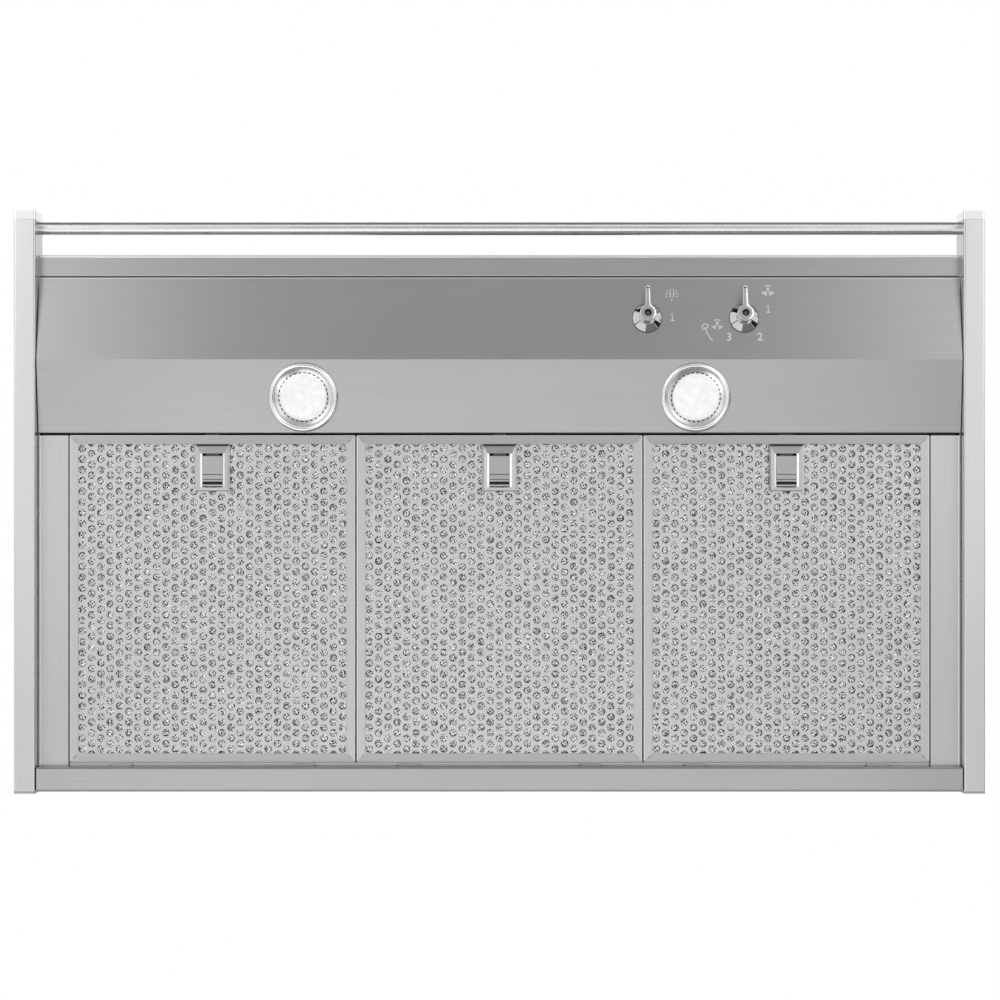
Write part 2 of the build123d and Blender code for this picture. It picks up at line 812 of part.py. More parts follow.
def blower_box():
    half = box_width / 2
    rear = -box_setback
    front = rear - box_depth
    box = block(-half, half, front, rear, chimney_bottom, box_top)
    box -= block(-half + sheet, half - sheet, front + sheet, rear - sheet, chimney_bottom - sheet, box_top - sheet)
    return box - Pos(0, box_centre_y, 0) * rod(collar_inner - volute_wall, box_top - 2 * sheet, box_top + sheet)


# Duct collar and flaps

flap_z = box_top + flap_rise
flap_radius = collar_inner - flap_edge_gap


def duct_collar():
    collar = tube(collar_radius, collar_inner, box_top, box_top + collar_height)
    flange_half = collar_radius + collar_flange
    flange = block(-flange_half, flange_half, -flange_half, flange_half, box_top, box_top + collar_flange_thickness)
    collar += flange - rod(collar_inner, box_top - collar_flange_thickness, box_top + 2 * collar_flange_thickness)
    stop_top = flap_z - flap_thickness / 2 - face_gap
    for angle in (90, 270):
        stop = block(collar_inner - stop_length, collar_inner + collar_wall / 2, -stop_length, stop_length,
                     stop_top - stop_height, stop_top)
        collar += Rot(0, 0, angle) * stop
    collar += rod_along_x(damper_pin_diameter / 2, -collar_inner, collar_inner, 0, flap_z)
    return Pos(0, box_centre_y, 0) * collar


def damper_flap(side):
    # side -1 is the front flap, 1 the rear one; both swing up about the pin across the collar
    low = flap_z - flap_thickness / 2
    plate = rod(flap_radius, low, low + flap_thickness)
    plate -= block(-flap_radius, flap_radius, -side * flap_radius, side * flap_root_gap, low - 1,
                   low + flap_thickness + 1)
    start, end = sorted((side * face_gap, side * knuckle_length))
    knuckle_half = knuckle_diameter / 2
    knuckle = block(start, end, -knuckle_half, knuckle_half, flap_z - knuckle_half, flap_z + knuckle_half)
    long_edges = knuckle.edges().filter_by(Axis.X)
    plate += chamfer(long_edges, knuckle_half / 2)
    plate += block(start, end, 0, side * 2 * flap_root_gap, low, low + flap_thickness)
    plate -= rod_along_x(damper_pin_diameter / 2 + running_fit, -flap_radius, flap_radius, 0, flap_z)
    return Pos(0, box_centre_y, 0) * plate


# Chimney covers, drawn in plan

def cover_outline(width, depth, rear):
    half = width / 2
    inner = half - chimney_return
    return [(-inner, rear), (-half, rear), (-half, -depth), (half, -depth), (half, rear), (inner, rear)]


def chimney_lower():
    plan = creased(cover_outline(chimney_width, chimney_depth, 0), sheet)
    return along_z(plan, chimney_bottom, chimney_bottom + chimney_lower_height)


nest = sheet + chimney_clearance
upper_top = chimney_bottom + chimney_lower_height + chimney_show
upper_bottom = upper_top - chimney_upper_height
upper_inner_half = chimney_width / 2 - nest - sheet


def chimney_upper():
    plan = creased(cover_outline(chimney_width - 2 * nest, chimney_depth - nest, -nest), sheet)
    cover = along_z(plan, upper_bottom, upper_top)
    for index in range(vent_slot_count):
        middle = -chimney_depth / 2
        top = upper_top - vent_slot_drop - ceiling_bracket_height - index * vent_slot_pitch
        cover -= block(-chimney_width, chimney_width, middle - vent_slot_length / 2,
                       middle + vent_slot_length / 2, top - vent_slot_height, top)
    return cover


def ceiling_bracket():
    rear = -(nest + sheet)
    path = [(upper_inner_half, rear - ceiling_bracket_arm), (upper_inner_half, rear),
            (-upper_inner_half, rear), (-upper_inner_half, rear - ceiling_bracket_arm)]
    high = upper_top - vent_slot_drop / 2
    low = high - ceiling_bracket_height
    bracket = along_z(creased(path, ceiling_bracket_sheet), low, high)
    middle = (low + high) / 2
    for side in (-1, 1):
        start = side * (ceiling_slot_spacing - ceiling_slot_length) / 2
        bracket -= block(start, start + side * ceiling_slot_length, rear - 2 * ceiling_bracket_sheet,
                         rear + ceiling_bracket_sheet, middle - ceiling_slot_height / 2,
                         middle + ceiling_slot_height / 2)
    return bracket


# Electrics on the back panel

terminal_x = -terminal_box_offset
terminal_bottom = level(terminal_box_rise)
terminal_top = terminal_bottom + terminal_box_height


def terminal_box():
    half = terminal_box_width / 2
    box = block(terminal_x - half, terminal_x + half, -back_thickness - terminal_box_depth, -back_thickness,
                terminal_bottom, terminal_top)
    return chamfer(box.faces().sort_by(Axis.Y)[0].edges(), terminal_box_bevel)


def cable_gland():
    x = terminal_x + terminal_box_width / 4
    y = -(back_thickness + terminal_box_depth / 2)
    hexagon = RegularPolygon(gland_diameter / 2, 6, major_radius=False)
    gland = along_z(hexagon, 0, gland_length)
    return Pos(x, y, terminal_top) * gland


def build_all():
    nodes = {
        "side_bar_left": side_bar(-1),
        "side_bar_right": side_bar(1),
        "bar_caps": [only(bar_end(side, True)) for side in (-1, 1)],
        "rear_caps": [only(bar_end(side, False)) for side in (-1, 1)],
        "front_rail": front_rail(),
        "canopy_shell": canopy_shell(),
        "back_panel": back_panel(),
        "underside_panel": underside_panel(),
        "side_infill_left": side_infill(-1),
        "side_infill_right": side_infill(1),
        "rear_bar": rear_bar(),
    }
    filter_parts = {"frame": [filter_frame()], "sheets": filter_sheets(), "mesh": [filter_mesh()],
                    "latch_plate": [latch_plate()], "latch_slide": [latch_slide()],
                    "latch_spring": [latch_spring()]}
    for name, x in zip(filter_names, filter_centres):
        for part_name, solids in filter_parts.items():
            nodes[f"{name}_{part_name}"] = [only(Pos(x, 0, 0) * solid) for solid in solids]
    lamp_parts = {"lamp_bezels": lamp_bezel(), "lamp_glasses": lamp_glass(), "lamp_bulbs": lamp_bulb(),
                  "lamp_cans": lamp_can()}
    for name, solid in lamp_parts.items():
        nodes[name] = [only(lamp_field(x).location * solid) for x in lamp_places]
    nodes["knob_rosettes"] = [only(control_field(x).location * rosette()) for x in knob_places]
    for name, x in zip(("light", "fan"), knob_places):
        place = control_field(x).location
        nodes[f"{name}_knob"] = place * knob()
        nodes[f"{name}_spindle"] = place * spindle()
        nodes[f"{name}_switch"] = place * switch()
    nodes.update({
        "blower_box": blower_box(),
        "scroll_housing": scroll_housing(),
        "impeller": impeller(),
        "motor_shaft": motor_shaft(),
        "motor": motor(),
        "motor_bracket": motor_bracket(),
        "duct_collar": duct_collar(),
        "damper_flap_front": damper_flap(-1),
        "damper_flap_rear": damper_flap(1),
        "chimney_lower": chimney_lower(),
        "chimney_upper": chimney_upper(),
        "ceiling_bracket": ceiling_bracket(),
        "terminal_box": terminal_box(),
        "cable_gland": cable_gland(),
    })
    return nodes


os.makedirs("parts", exist_ok=True)
for node_name, shape in build_all().items():
    if isinstance(shape, list):
        shape = Compound(children=shape) if len(shape) > 1 else shape[0]
    else:
        shape = only(shape)
    export_step(shape, f"parts/{node_name}.step")
    print(node_name, len(shape.solids()), round(shape.volume, 1))
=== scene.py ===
import bpy
import bmesh
from math import atan2, cos, pi, radians, sin, sqrt
from mathutils import Matrix, Vector, noise


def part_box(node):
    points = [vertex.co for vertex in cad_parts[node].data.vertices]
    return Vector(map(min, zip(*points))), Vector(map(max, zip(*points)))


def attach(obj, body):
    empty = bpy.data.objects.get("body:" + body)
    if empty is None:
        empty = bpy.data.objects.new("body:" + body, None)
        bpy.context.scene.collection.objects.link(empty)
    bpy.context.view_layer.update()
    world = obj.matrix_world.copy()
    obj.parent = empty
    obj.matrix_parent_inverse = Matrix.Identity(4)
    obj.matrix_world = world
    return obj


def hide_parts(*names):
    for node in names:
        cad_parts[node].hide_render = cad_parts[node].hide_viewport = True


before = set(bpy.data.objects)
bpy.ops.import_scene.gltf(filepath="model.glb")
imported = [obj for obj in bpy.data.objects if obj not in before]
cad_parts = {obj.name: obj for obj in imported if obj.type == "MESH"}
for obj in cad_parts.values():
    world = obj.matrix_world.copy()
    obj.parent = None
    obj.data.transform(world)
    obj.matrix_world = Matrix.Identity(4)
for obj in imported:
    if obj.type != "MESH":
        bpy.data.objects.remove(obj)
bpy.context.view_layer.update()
scene = bpy.context.scene
scene.view_settings.view_transform = "Standard"
print("frame loaded:", len(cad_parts), "nodes")


# Finishes. Every colour is an sRGB hex value, and every pattern size is in millimetres.

def toLinear(code):
    parts = [int(code[start:start + 2], 16) / 255 for start in (1, 3, 5)]
    return [p / 12.92 if p <= 0.04045 else ((p + 0.055) / 1.055) ** 2.4 for p in parts] + [1.0]


def addNode(tree, kind, sockets, **settings):
    made = tree.nodes.new("ShaderNode" + kind)
    for name, value in settings.items():
        setattr(made, name, value)
    for name, value in sockets.items():
        if isinstance(value, bpy.types.NodeSocket):
            tree.links.new(value, made.inputs[name])
        else:
            made.inputs[name].default_value = value
    return made


def startMaterial(name):
    material = bpy.data.materials.new(name)
    material.use_nodes = True
    material.node_tree.nodes.clear()
    tree = material.node_tree
    return material, tree, addNode(tree, "TexCoord", {}).outputs["Object"]


def blendTones(tree, factor, first, last):
    return addNode(tree, "Mix", {0: factor, 6: toLinear(first), 7: toLinear(last)}, data_type="RGBA").outputs[2]


def endMaterial(tree, sockets):
    shader = addNode(tree, "BsdfPrincipled", sockets)
    addNode(tree, "OutputMaterial", {"Surface": shader.outputs["BSDF"]})


def endMetal(tree, colour, gloss, **others):
    endMaterial(tree, {"Base Color": colour, "Metallic": 1.0, "Roughness": gloss.outputs["Result"], **others})


def brushedMetal(name, look):
    # sheet or tube ground with a belt: parallel scratches, and gloss that streaks across them
    material, tree, place = startMaterial(name)
    scratch = [1000 / (look["scratchLength"] if axis == look["direction"] else look["scratchWidth"])
               for axis in "xyz"]
    stretched = addNode(tree, "Mapping", {"Vector": place, "Scale": scratch}).outputs["Vector"]
    grain = addNode(tree, "TexNoise", {"Vector": stretched, "Scale": 1.0, "Detail": 3.0, "Roughness": 0.65})
    patches = addNode(tree, "TexNoise", {"Vector": place, "Scale": 1000 / look["patch"], "Detail": 2.0})
    colour = blendTones(tree, grain.outputs["Fac"], look["dark"], look["light"])
    soft = addNode(tree, "MapRange", {"Value": patches.outputs["Fac"], "From Min": 0.3, "From Max": 0.7,
                                      "To Min": look["roughness"] - 0.012,
                                      "To Max": look["roughness"] + 0.012})
    relief = addNode(tree, "Bump", {"Height": grain.outputs["Fac"], "Strength": look["relief"],
                                    "Distance": 0.00005})
    facing = addNode(tree, "NewGeometry", {}).outputs["Normal"]
    lines = [1.0 if axis == look["direction"] else 0.0 for axis in "xyz"]
    across = addNode(tree, "VectorMath", {0: facing, 1: lines}, operation="CROSS_PRODUCT")
    endMetal(tree, colour, soft, Anisotropic=look["streak"], Tangent=across.outputs["Vector"],
             Normal=relief.outputs["Normal"])
    return material


canopySteel = {"direction": "x", "scratchLength": 90, "scratchWidth": 0.9, "patch": 140, "dark": "#a6a6a6",
               "light": "#b9b9b9", "roughness": 0.31, "relief": 0.10, "streak": 0.75}
infillSteel = dict(canopySteel, direction="y", dark="#bcbcbc", light="#cccccc")
# a lighter copy of the canopy steel: a painted highlight for the bends of sheets, the frame edges and the latch window
# slopes
foldSteel = dict(canopySteel, dark="#e2e2e2", light="#f0f0f0")
barSteel = {"direction": "y", "scratchLength": 70, "scratchWidth": 0.8, "patch": 120, "dark": "#cccccc",
            "light": "#d8d8d8", "roughness": 0.27, "relief": 0.07, "streak": 0.5}
chimneySteel = dict(canopySteel, direction="z", dark="#b0b0b0", light="#c2c2c2")
aluminiumAcross = {"direction": "x", "scratchLength": 40, "scratchWidth": 0.7, "patch": 60, "dark": "#acacac",
                   "light": "#bcbcbc", "roughness": 0.34, "relief": 0.08, "streak": 0.5}
# the frames' side members are brushed along their length and painted lighter than the front and rear members, a
# painted highlight
aluminiumAlong = dict(aluminiumAcross, direction="y", dark="#bababa", light="#cacaca")
sheetAluminium = dict(aluminiumAcross, direction="y", dark="#c2c2c2", light="#d0d0d0")


def polishedSteel(name, look):
    # buffed or plated: a mirror with faint wiping marks that only dull it a little
    material, tree, place = startMaterial(name)
    wiping = addNode(tree, "TexNoise", {"Vector": place, "Scale": 1000 / look["mark"], "Detail": 4.0})
    soft = addNode(tree, "MapRange", {"Value": wiping.outputs["Fac"], "From Min": 0.35, "From Max": 0.75,
                                      "To Min": look["roughness"], "To Max": look["roughness"] + 0.05})
    colour = blendTones(tree, wiping.outputs["Fac"], look["dark"], look["light"])
    endMetal(tree, colour, soft)
    return material


chromePlate = {"mark": 6, "dark": "#e2e3e5", "light": "#f2f2f3", "roughness": 0.05}
# the same chrome as the knobs, painted darker for the rosettes as shade
shadedRosetteChrome = {"mark": 6, "dark": "#c0c1c2", "light": "#d2d2d3", "roughness": 0.07}
railPolish = {"mark": 30, "dark": "#dcdcdc", "light": "#e8e8e8", "roughness": 0.25}
capPolish = {"mark": 20, "dark": "#dcdcdc", "light": "#eaeaea", "roughness": 0.12}
bezelChrome = {"mark": 12, "dark": "#dedfe0", "light": "#ececed", "roughness": 0.17}
# a turned finish for the knob's groove and annulus; its tone darker than the chrome is painted shade
turnedShadedFace = {"mark": 2, "dark": "#a9aaab", "light": "#c2c3c4", "roughness": 0.3}
# dark aluminium that stands for shade: painted shade on the rosette rims, the knob screws, and the latch's grooves,
# nose and front band
paintedShadeAluminium = {"mark": 3, "dark": "#5c5c5d", "light": "#727273", "roughness": 0.55}
plugSteel = {"mark": 8, "dark": "#9a9a9b", "light": "#b0b0b1", "roughness": 0.4}


def galvanisedSteel(name, look):
    # zinc-dipped sheet: large flat crystals, each a little lighter or darker than the next
    material, tree, place = startMaterial(name)
    crystals = addNode(tree, "TexVoronoi", {"Vector": place, "Scale": 1000 / look["crystal"], "Randomness": 1.0})
    tone = addNode(tree, "SeparateColor", {"Color": crystals.outputs["Color"]}).outputs["Red"]
    colour = blendTones(tree, tone, look["dark"], look["light"])
    soft = addNode(tree, "MapRange", {"Value": tone, "To Min": look["roughness"] - 0.06,
                                      "To Max": look["roughness"] + 0.08})
    endMetal(tree, colour, soft)
    return material


zincSheet = {"crystal": 9, "dark": "#a6a9ab", "light": "#c3c6c8", "roughness": 0.42}
ductZinc = {"crystal": 6, "dark": "#b0b3b5", "light": "#cbcdcf", "roughness": 0.38}
springZinc = {"crystal": 2, "dark": "#9a9c9e", "light": "#b8babc", "roughness": 0.3}


def expandedMesh(name, look):
    # crumpled expanded foil: bright strands around small openings, the openings painted dark as shade and the strands
    # lit by painted glints
    material, tree, place = startMaterial(name)
    turned = addNode(tree, "Mapping", {"Vector": place, "Rotation": (0.0, 0.0, radians(look["turn"]))})
    cells = addNode(tree, "TexVoronoi", {"Vector": turned.outputs["Vector"], "Scale": 1000 / look["cell"],
                                         "Randomness": look["jitter"]}, voronoi_dimensions="2D")
    layers = addNode(tree, "TexNoise", {"Vector": place, "Scale": 1000 / look["layer"], "Detail": 1.0})
    reach = addNode(tree, "MapRange", {"Value": layers.outputs["Fac"], "From Min": 0.36, "From Max": 0.58,
                                       "To Min": look["smallest"], "To Max": look["largest"]})
    gap = addNode(tree, "Math", {0: reach.outputs["Result"], 1: cells.outputs["Distance"]}, operation="SUBTRACT")
    hole = addNode(tree, "MapRange", {"Value": gap.outputs["Value"], "From Min": -look["edge"],
                                      "From Max": look["edge"]}).outputs["Result"]
    # painted glints: noise lightens the strands in random spots
    glints = addNode(tree, "TexNoise", {"Vector": place, "Scale": 1000 / look["glint"], "Detail": 1.0})
    bright = addNode(tree, "MapRange", {"Value": glints.outputs["Fac"], "From Min": 0.38, "From Max": 0.62})
    strand = blendTones(tree, bright.outputs["Result"], look["strand"], look["shine"])
    # the openings take the near-black tone, a painted shade
    colour = addNode(tree, "Mix", {0: hole, 6: strand, 7: toLinear(look["behind"])}, data_type="RGBA").outputs[2]
    dull = addNode(tree, "MapRange", {"Value": hole, "To Min": look["roughness"], "To Max": 0.8})
    relief = addNode(tree, "Bump", {"Height": cells.outputs["Distance"], "Strength": look["relief"],
                                    "Distance": 0.0006})
    endMetal(tree, colour, dull, Normal=relief.outputs["Normal"])
    return material


foilMesh = {"turn": 33, "cell": 2.35, "jitter": 0.42, "layer": 4.2, "smallest": 0.16, "largest": 0.32, "edge": 0.03,
            "glint": 1.15, "strand": "#a6a6a6", "shine": "#f4f4f4", "behind": "#121212", "roughness": 0.42,
            "relief": 0.2}


def mouldedPlastic(name, look):
    # spark-eroded mould texture: fine grain in the gloss, with no gloss lines
    material, tree, place = startMaterial(name)
    grain = addNode(tree, "TexNoise", {"Vector": place, "Scale": 1000 / look["grain"], "Detail": 3.0})
    colour = blendTones(tree, grain.outputs["Fac"], look["dark"], look["light"])
    relief = addNode(tree, "Bump", {"Height": grain.outputs["Fac"], "Strength": 0.2, "Distance": 0.0001})
    endMaterial(tree, {"Base Color": colour, "Roughness": look["roughness"], "IOR": 1.53,
                       "Normal": relief.outputs["Normal"]})
    return material


switchPlastic = {"grain": 0.8, "dark": "#101010", "light": "#1d1d1e", "roughness": 0.5}
boxPlastic = {"grain": 0.9, "dark": "#84868a", "light": "#8f9195", "roughness": 0.48}
motorEnamel = {"grain": 1.6, "dark": "#1d1e20", "light": "#2b2c2f", "roughness": 0.36}
inkWhite = {"grain": 0.5, "dark": "#f4f4f3", "light": "#fdfdfc", "roughness": 0.5}
shadowGap = {"grain": 0.6, "dark": "#0a0a0a", "light": "#161616", "roughness": 0.7}


def litGlass(name, look):
    # pressed glass in front of a lit reflector, ribs faintly seen
    material, tree, place = startMaterial(name)
    ribs = addNode(tree, "TexNoise", {"Vector": place, "Scale": 1000 / look["rib"], "Detail": 1.0})
    colour = blendTones(tree, ribs.outputs["Fac"], look["dark"], look["light"])
    endMaterial(tree, {"Base Color": colour, "Roughness": look["roughness"], "IOR": 1.5,
                       "Emission Color": colour, "Emission Strength": look["glow"]})
    return material


lampGlass = {"rib": 5, "dark": "#dededd", "light": "#ffffff", "roughness": 0.2, "glow": 0.42}
bulbGlass = {"rib": 6, "dark": "#f6f3ea", "light": "#fffdf6", "roughness": 0.35, "glow": 0.9}

finishes = {
    "canopy": brushedMetal("brushed stainless canopy", canopySteel),
    "infill": brushedMetal("brushed stainless infill", infillSteel),
    "fold": brushedMetal("brushed stainless fold", foldSteel),
    "bar": brushedMetal("satin stainless bar", barSteel),
    "chimney": brushedMetal("brushed stainless chimney", chimneySteel),
    "aluminiumAcross": brushedMetal("rolled aluminium across", aluminiumAcross),
    "aluminiumAlong": brushedMetal("rolled aluminium along, painted lighter", aluminiumAlong),
    "sheet": brushedMetal("perforated aluminium sheet", sheetAluminium),
    "chrome": polishedSteel("chrome plate", chromePlate),
    "rosette": polishedSteel("chrome rosette, painted darker", shadedRosetteChrome),
    "rail": polishedSteel("polished stainless rail", railPolish),
    "cap": polishedSteel("polished stainless cap", capPolish),
    "bezel": polishedSteel("satin chrome bezel", bezelChrome),
    "turned": polishedSteel("turned face of the knob, painted darker", turnedShadedFace),
    "plug": polishedSteel("dull stainless plug", plugSteel),
    "zinc": galvanisedSteel("galvanised sheet", zincSheet),
    "duct": galvanisedSteel("galvanised duct", ductZinc),
    "spring": galvanisedSteel("zinc-plated spring strip", springZinc),
    "foil": expandedMesh("expanded aluminium foil", foilMesh),
    "switch": mouldedPlastic("moulded phenolic switch", switchPlastic),
    "box": mouldedPlastic("moulded grey box", boxPlastic),
    "motor": mouldedPlastic("stove enamel on the motor", motorEnamel),
    "ink": mouldedPlastic("screen-printed ink", inkWhite),
    "paintedShade": polishedSteel("shaded aluminium", paintedShadeAluminium),
    "shadow": mouldedPlastic("unlit gap", shadowGap),
    "glass": litGlass("lit lamp glass", lampGlass),
    "bulb": litGlass("lit bulb", bulbGlass),
}
print("finishes made:", len(finishes))

nodeFinishes = {
    "canopy": ["canopy_shell", "back_panel", "underside_panel", "rear_bar"],
    "infill": ["side_infill_left", "side_infill_right"],
    "bar": ["side_bar_left", "side_bar_right", "bar_caps"],
    "plug": ["rear_caps"],
    "rail": ["front_rail", "motor_shaft", "light_spindle", "fan_spindle"],
    "chimney": ["chimney_lower", "chimney_upper"],
    "chrome": ["lamp_bezels", "knob_rosettes", "light_knob", "fan_knob"],
    "zinc": ["blower_box", "scroll_housing", "impeller", "motor_bracket", "ceiling_bracket", "lamp_cans"],
    "duct": ["duct_collar", "damper_flap_front", "damper_flap_rear"],
    "switch": ["light_switch", "fan_switch", "cable_gland"],
    "box": ["terminal_box"],
    "motor": ["motor"],
    "glass": ["lamp_glasses"],
    "bulb": ["lamp_bulbs"],
}
filterSides = ("left", "center", "right")
for finish, parts in (("spring", ["latch_spring"]), ("foil", ["mesh"]),
                      ("aluminiumAlong", ["frame", "sheets", "latch_plate", "latch_slide"])):
    nodeFinishes[finish] = [f"filter_{side}_{part}" for side in filterSides for part in parts]
for finish, nodes in nodeFinishes.items():
    for node in nodes:
        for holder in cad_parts[node].material_slots:
            holder.material = finishes[finish]
print("CAD nodes finished:", sum(len(nodes) for nodes in nodeFinishes.values()))


# Shaping helpers. Pieces are drawn in millimetres and brought to metres at the end.

def addBlock(bm, x0, x1, y0, y1, z0, z1, material=0):
    verts = bmesh.ops.create_cube(bm, size=1)["verts"]
    bmesh.ops.scale(bm, vec=(x1 - x0, y1 - y0, z1 - z0), verts=verts)
    bmesh.ops.translate(bm, vec=((x0 + x1) / 2, (y0 + y1) / 2, (z0 + z1) / 2), verts=verts)
    for face in {face for vert in verts for face in vert.link_faces}:
        face.material_index = material
    return verts


def allOf(bm):
    return bm.verts[:] + bm.edges[:] + bm.faces[:]


def vertsIn(parts):
    return [part for part in parts if isinstance(part, bmesh.types.BMVert)]


def edgesOf(verts):
    inside = set(verts)
    return list({edge for vert in verts for edge in vert.link_edges if set(edge.verts) <= inside})


def runsAlong(edge, axis):
    # whether an edge is longer than a millimetre along one axis
    return abs(edge.verts[0].co[axis] - edge.verts[1].co[axis]) > 1


def roundEdges(bm, edges, width, segments):
    return bmesh.ops.bevel(bm, geom=edges, offset=width, offset_type="OFFSET", segments=segments, profile=0.5,
                           affect="EDGES", material=-1, clamp_overlap=True)


def addTurned(bm, profile, steps):
    # a closed profile of (radius, height) points turned about the z axis
    verts = [bm.verts.new((radius, 0, height)) for radius, height in profile]
    edges = [bm.edges.new(pair) for pair in zip(verts, verts[1:] + verts[:1])]
    before = set(bm.faces)
    bmesh.ops.spin(bm, geom=verts + edges, cent=(0, 0, 0), axis=(0, 0, 1), angle=2 * pi, steps=steps,
                   use_merge=True)
    bmesh.ops.remove_doubles(bm, verts=bm.verts, dist=0.0005)
    return [face for face in bm.faces if face not in before]


def addProfile(bm, points, reach):
    # a closed outline in (y, z), carried along x from 0
    verts = [bm.verts.new((0, y, z)) for y, z in points]
    face = bm.faces.new(verts)
    made = bmesh.ops.extrude_face_region(bm, geom=[face])["geom"]
    moved = vertsIn(made)
    bmesh.ops.translate(bm, vec=(reach, 0, 0), verts=moved)
    return verts + moved


def joinInto(bm, part, place=None):
    if place is not None:
        bmesh.ops.transform(part, matrix=place, verts=part.verts)
    bmesh.ops.recalc_face_normals(part, faces=part.faces)
    mesh = bpy.data.meshes.new("part")
    part.to_mesh(mesh)
    part.free()
    bm.from_mesh(mesh)
    bpy.data.meshes.remove(mesh)


def finishPiece(bm, name, body, materials, nodes=(), place=None, sharp=35, closed=True):
    if place is not None:
        bmesh.ops.transform(bm, matrix=place, verts=bm.verts)
    bmesh.ops.scale(bm, vec=(0.001, 0.001, 0.001), verts=bm.verts)
    if closed:
        bmesh.ops.recalc_face_normals(bm, faces=bm.faces)
    mesh = bpy.data.meshes.new(name)
    bm.to_mesh(mesh)
    bm.free()
    mesh.shade_smooth()
    mesh.set_sharp_from_angle(angle=radians(sharp))
    piece = bpy.data.objects.new(name, mesh)
    scene.collection.objects.link(piece)
    for material in materials:
        mesh.materials.append(finishes[material])
    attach(piece, body)
    if nodes:
        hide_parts(*nodes)
    return piece


def nodeBox(node):
    # a node's lowest and highest corners in millimetres
    return [[value * 1000 for value in corner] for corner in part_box(node)]


def fieldPlace(x, field):
    # where a piece sits on a sloping field: x to the right, y to the front, z out of the hood
    outward = Vector((0, sin(field["slope"]), -cos(field["slope"])))
    right = Vector((1, 0, 0))
    place = Matrix((right, outward.cross(right), outward)).transposed().to_4x4()
    place.translation = (x, field["y"], field["z"])
    return place


controlField = {"slope": atan2(-16.5, 77.0), "y": -441.0, "z": -9.75}
lampField = {"slope": atan2(11.0, 68.3), "y": -367.4, "z": -12.346}


# Side bars, their front caps, the front rail, and the folded edges of the sheet-metal parts.

barShape = {"corner": 1.8, "wall": 1.5, "cornerSteps": 4}


def addBar(bm, x0, x1, y0, y1, z0, z1):
    # rectangular tube along y with open ends
    verts = addBlock(bm, x0, x1, y0, y1, z0, z1)
    bmesh.ops.recalc_face_normals(bm, faces=bm.faces)
    ends = [face for face in bm.faces if abs(face.normal.y) > 0.9]
    bmesh.ops.delete(bm, geom=ends, context="FACES_ONLY")
    roundEdges(bm, [edge for edge in edgesOf(verts) if runsAlong(edge, 1)], barShape["corner"],
               barShape["cornerSteps"])
    bmesh.ops.recalc_face_normals(bm, faces=bm.faces)
    bmesh.ops.solidify(bm, geom=allOf(bm), thickness=barShape["wall"])


for side in ("left", "right"):
    low, high = nodeBox("side_bar_" + side)
    bm = bmesh.new()
    addBar(bm, low[0], high[0], low[1], high[1], low[2], high[2])
    finishPiece(bm, side + "Bar", "hood", ["bar"], ["side_bar_" + side], sharp=8)

capShape = {"inner": 430.0, "width": 20.0, "front": -540.0, "rear": -532.15, "half": 20.0, "corner": 1.8,
            "edge": 5.5, "plugRear": -522.0, "plugInset": 1.8}

bm = bmesh.new()
for side in (-1, 1):
    inner, outer = sorted((side * capShape["inner"], side * (capShape["inner"] + capShape["width"])))
    half, inset = capShape["half"], capShape["plugInset"]
    head = bmesh.new()
    verts = addBlock(head, inner, outer, capShape["front"], capShape["rear"], -half, half)
    roundEdges(head, [edge for edge in edgesOf(verts) if runsAlong(edge, 1)], capShape["corner"], 5)
    rim = [edge for edge in head.edges if runsAlong(edge, 0)
           and all(abs(vert.co.y - capShape["front"]) < 0.01 for vert in edge.verts)]
    roundEdges(head, rim, capShape["edge"], 10)
    joinInto(bm, head)
    plug = bmesh.new()
    addBlock(plug, inner + inset, outer - inset, capShape["rear"], capShape["plugRear"], -half + inset, half - inset)
    joinInto(bm, plug)
finishPiece(bm, "barCaps", "hood", ["cap"], ["bar_caps"], sharp=8)

railShape = {"radius": 6.0, "half": 431.4, "y": -526.0, "z": 8.0, "sides": 64}

bm = bmesh.new()
bmesh.ops.create_cone(bm, cap_ends=True, segments=railShape["sides"], radius1=railShape["radius"],
                      radius2=railShape["radius"], depth=2 * railShape["half"],
                      matrix=Matrix.Rotation(pi / 2, 4, "Y"))
bmesh.ops.translate(bm, vec=(0, railShape["y"], railShape["z"]), verts=bm.verts)
finishPiece(bm, "frontRail", "hood", ["rail"], ["front_rail"])

# folded edges: the bend of each sheet as a round bar over its corner, (y, z, radius) or (x, z, radius)
foldShape = {"lip": (-499.0, 0.0, 1.42), "panelFront": (-478.75, -0.6, 1.0), "halfLength": 429.0,
             "infill": (427.9, -4.9, 1.35), "infillFront": -331.6, "infillRear": -25.0, "sides": 24}


def addFold(bm, radius, length, place):
    made = bmesh.ops.create_cone(bm, cap_ends=True, segments=foldShape["sides"], radius1=radius, radius2=radius,
                                 depth=length, matrix=place)
    return made["verts"]


# the lip and panel folds take the lighter steel, a painted highlight along each bend
bm = bmesh.new()
for y, z, radius in (foldShape["lip"], foldShape["panelFront"]):
    addFold(bm, radius, 2 * foldShape["halfLength"], Matrix.Translation((0, y, z)) @ Matrix.Rotation(pi / 2, 4, "Y"))
finishPiece(bm, "sheetFolds", "hood", ["fold"])
bm = bmesh.new()
x, z, radius = foldShape["infill"]
middle = (foldShape["infillFront"] + foldShape["infillRear"]) / 2
for side in (-1, 1):
    addFold(bm, radius, foldShape["infillRear"] - foldShape["infillFront"],
            Matrix.Translation((side * x, middle, z)) @ Matrix.Rotation(pi / 2, 4, "X"))
finishPiece(bm, "infillFolds", "hood", ["bar"])

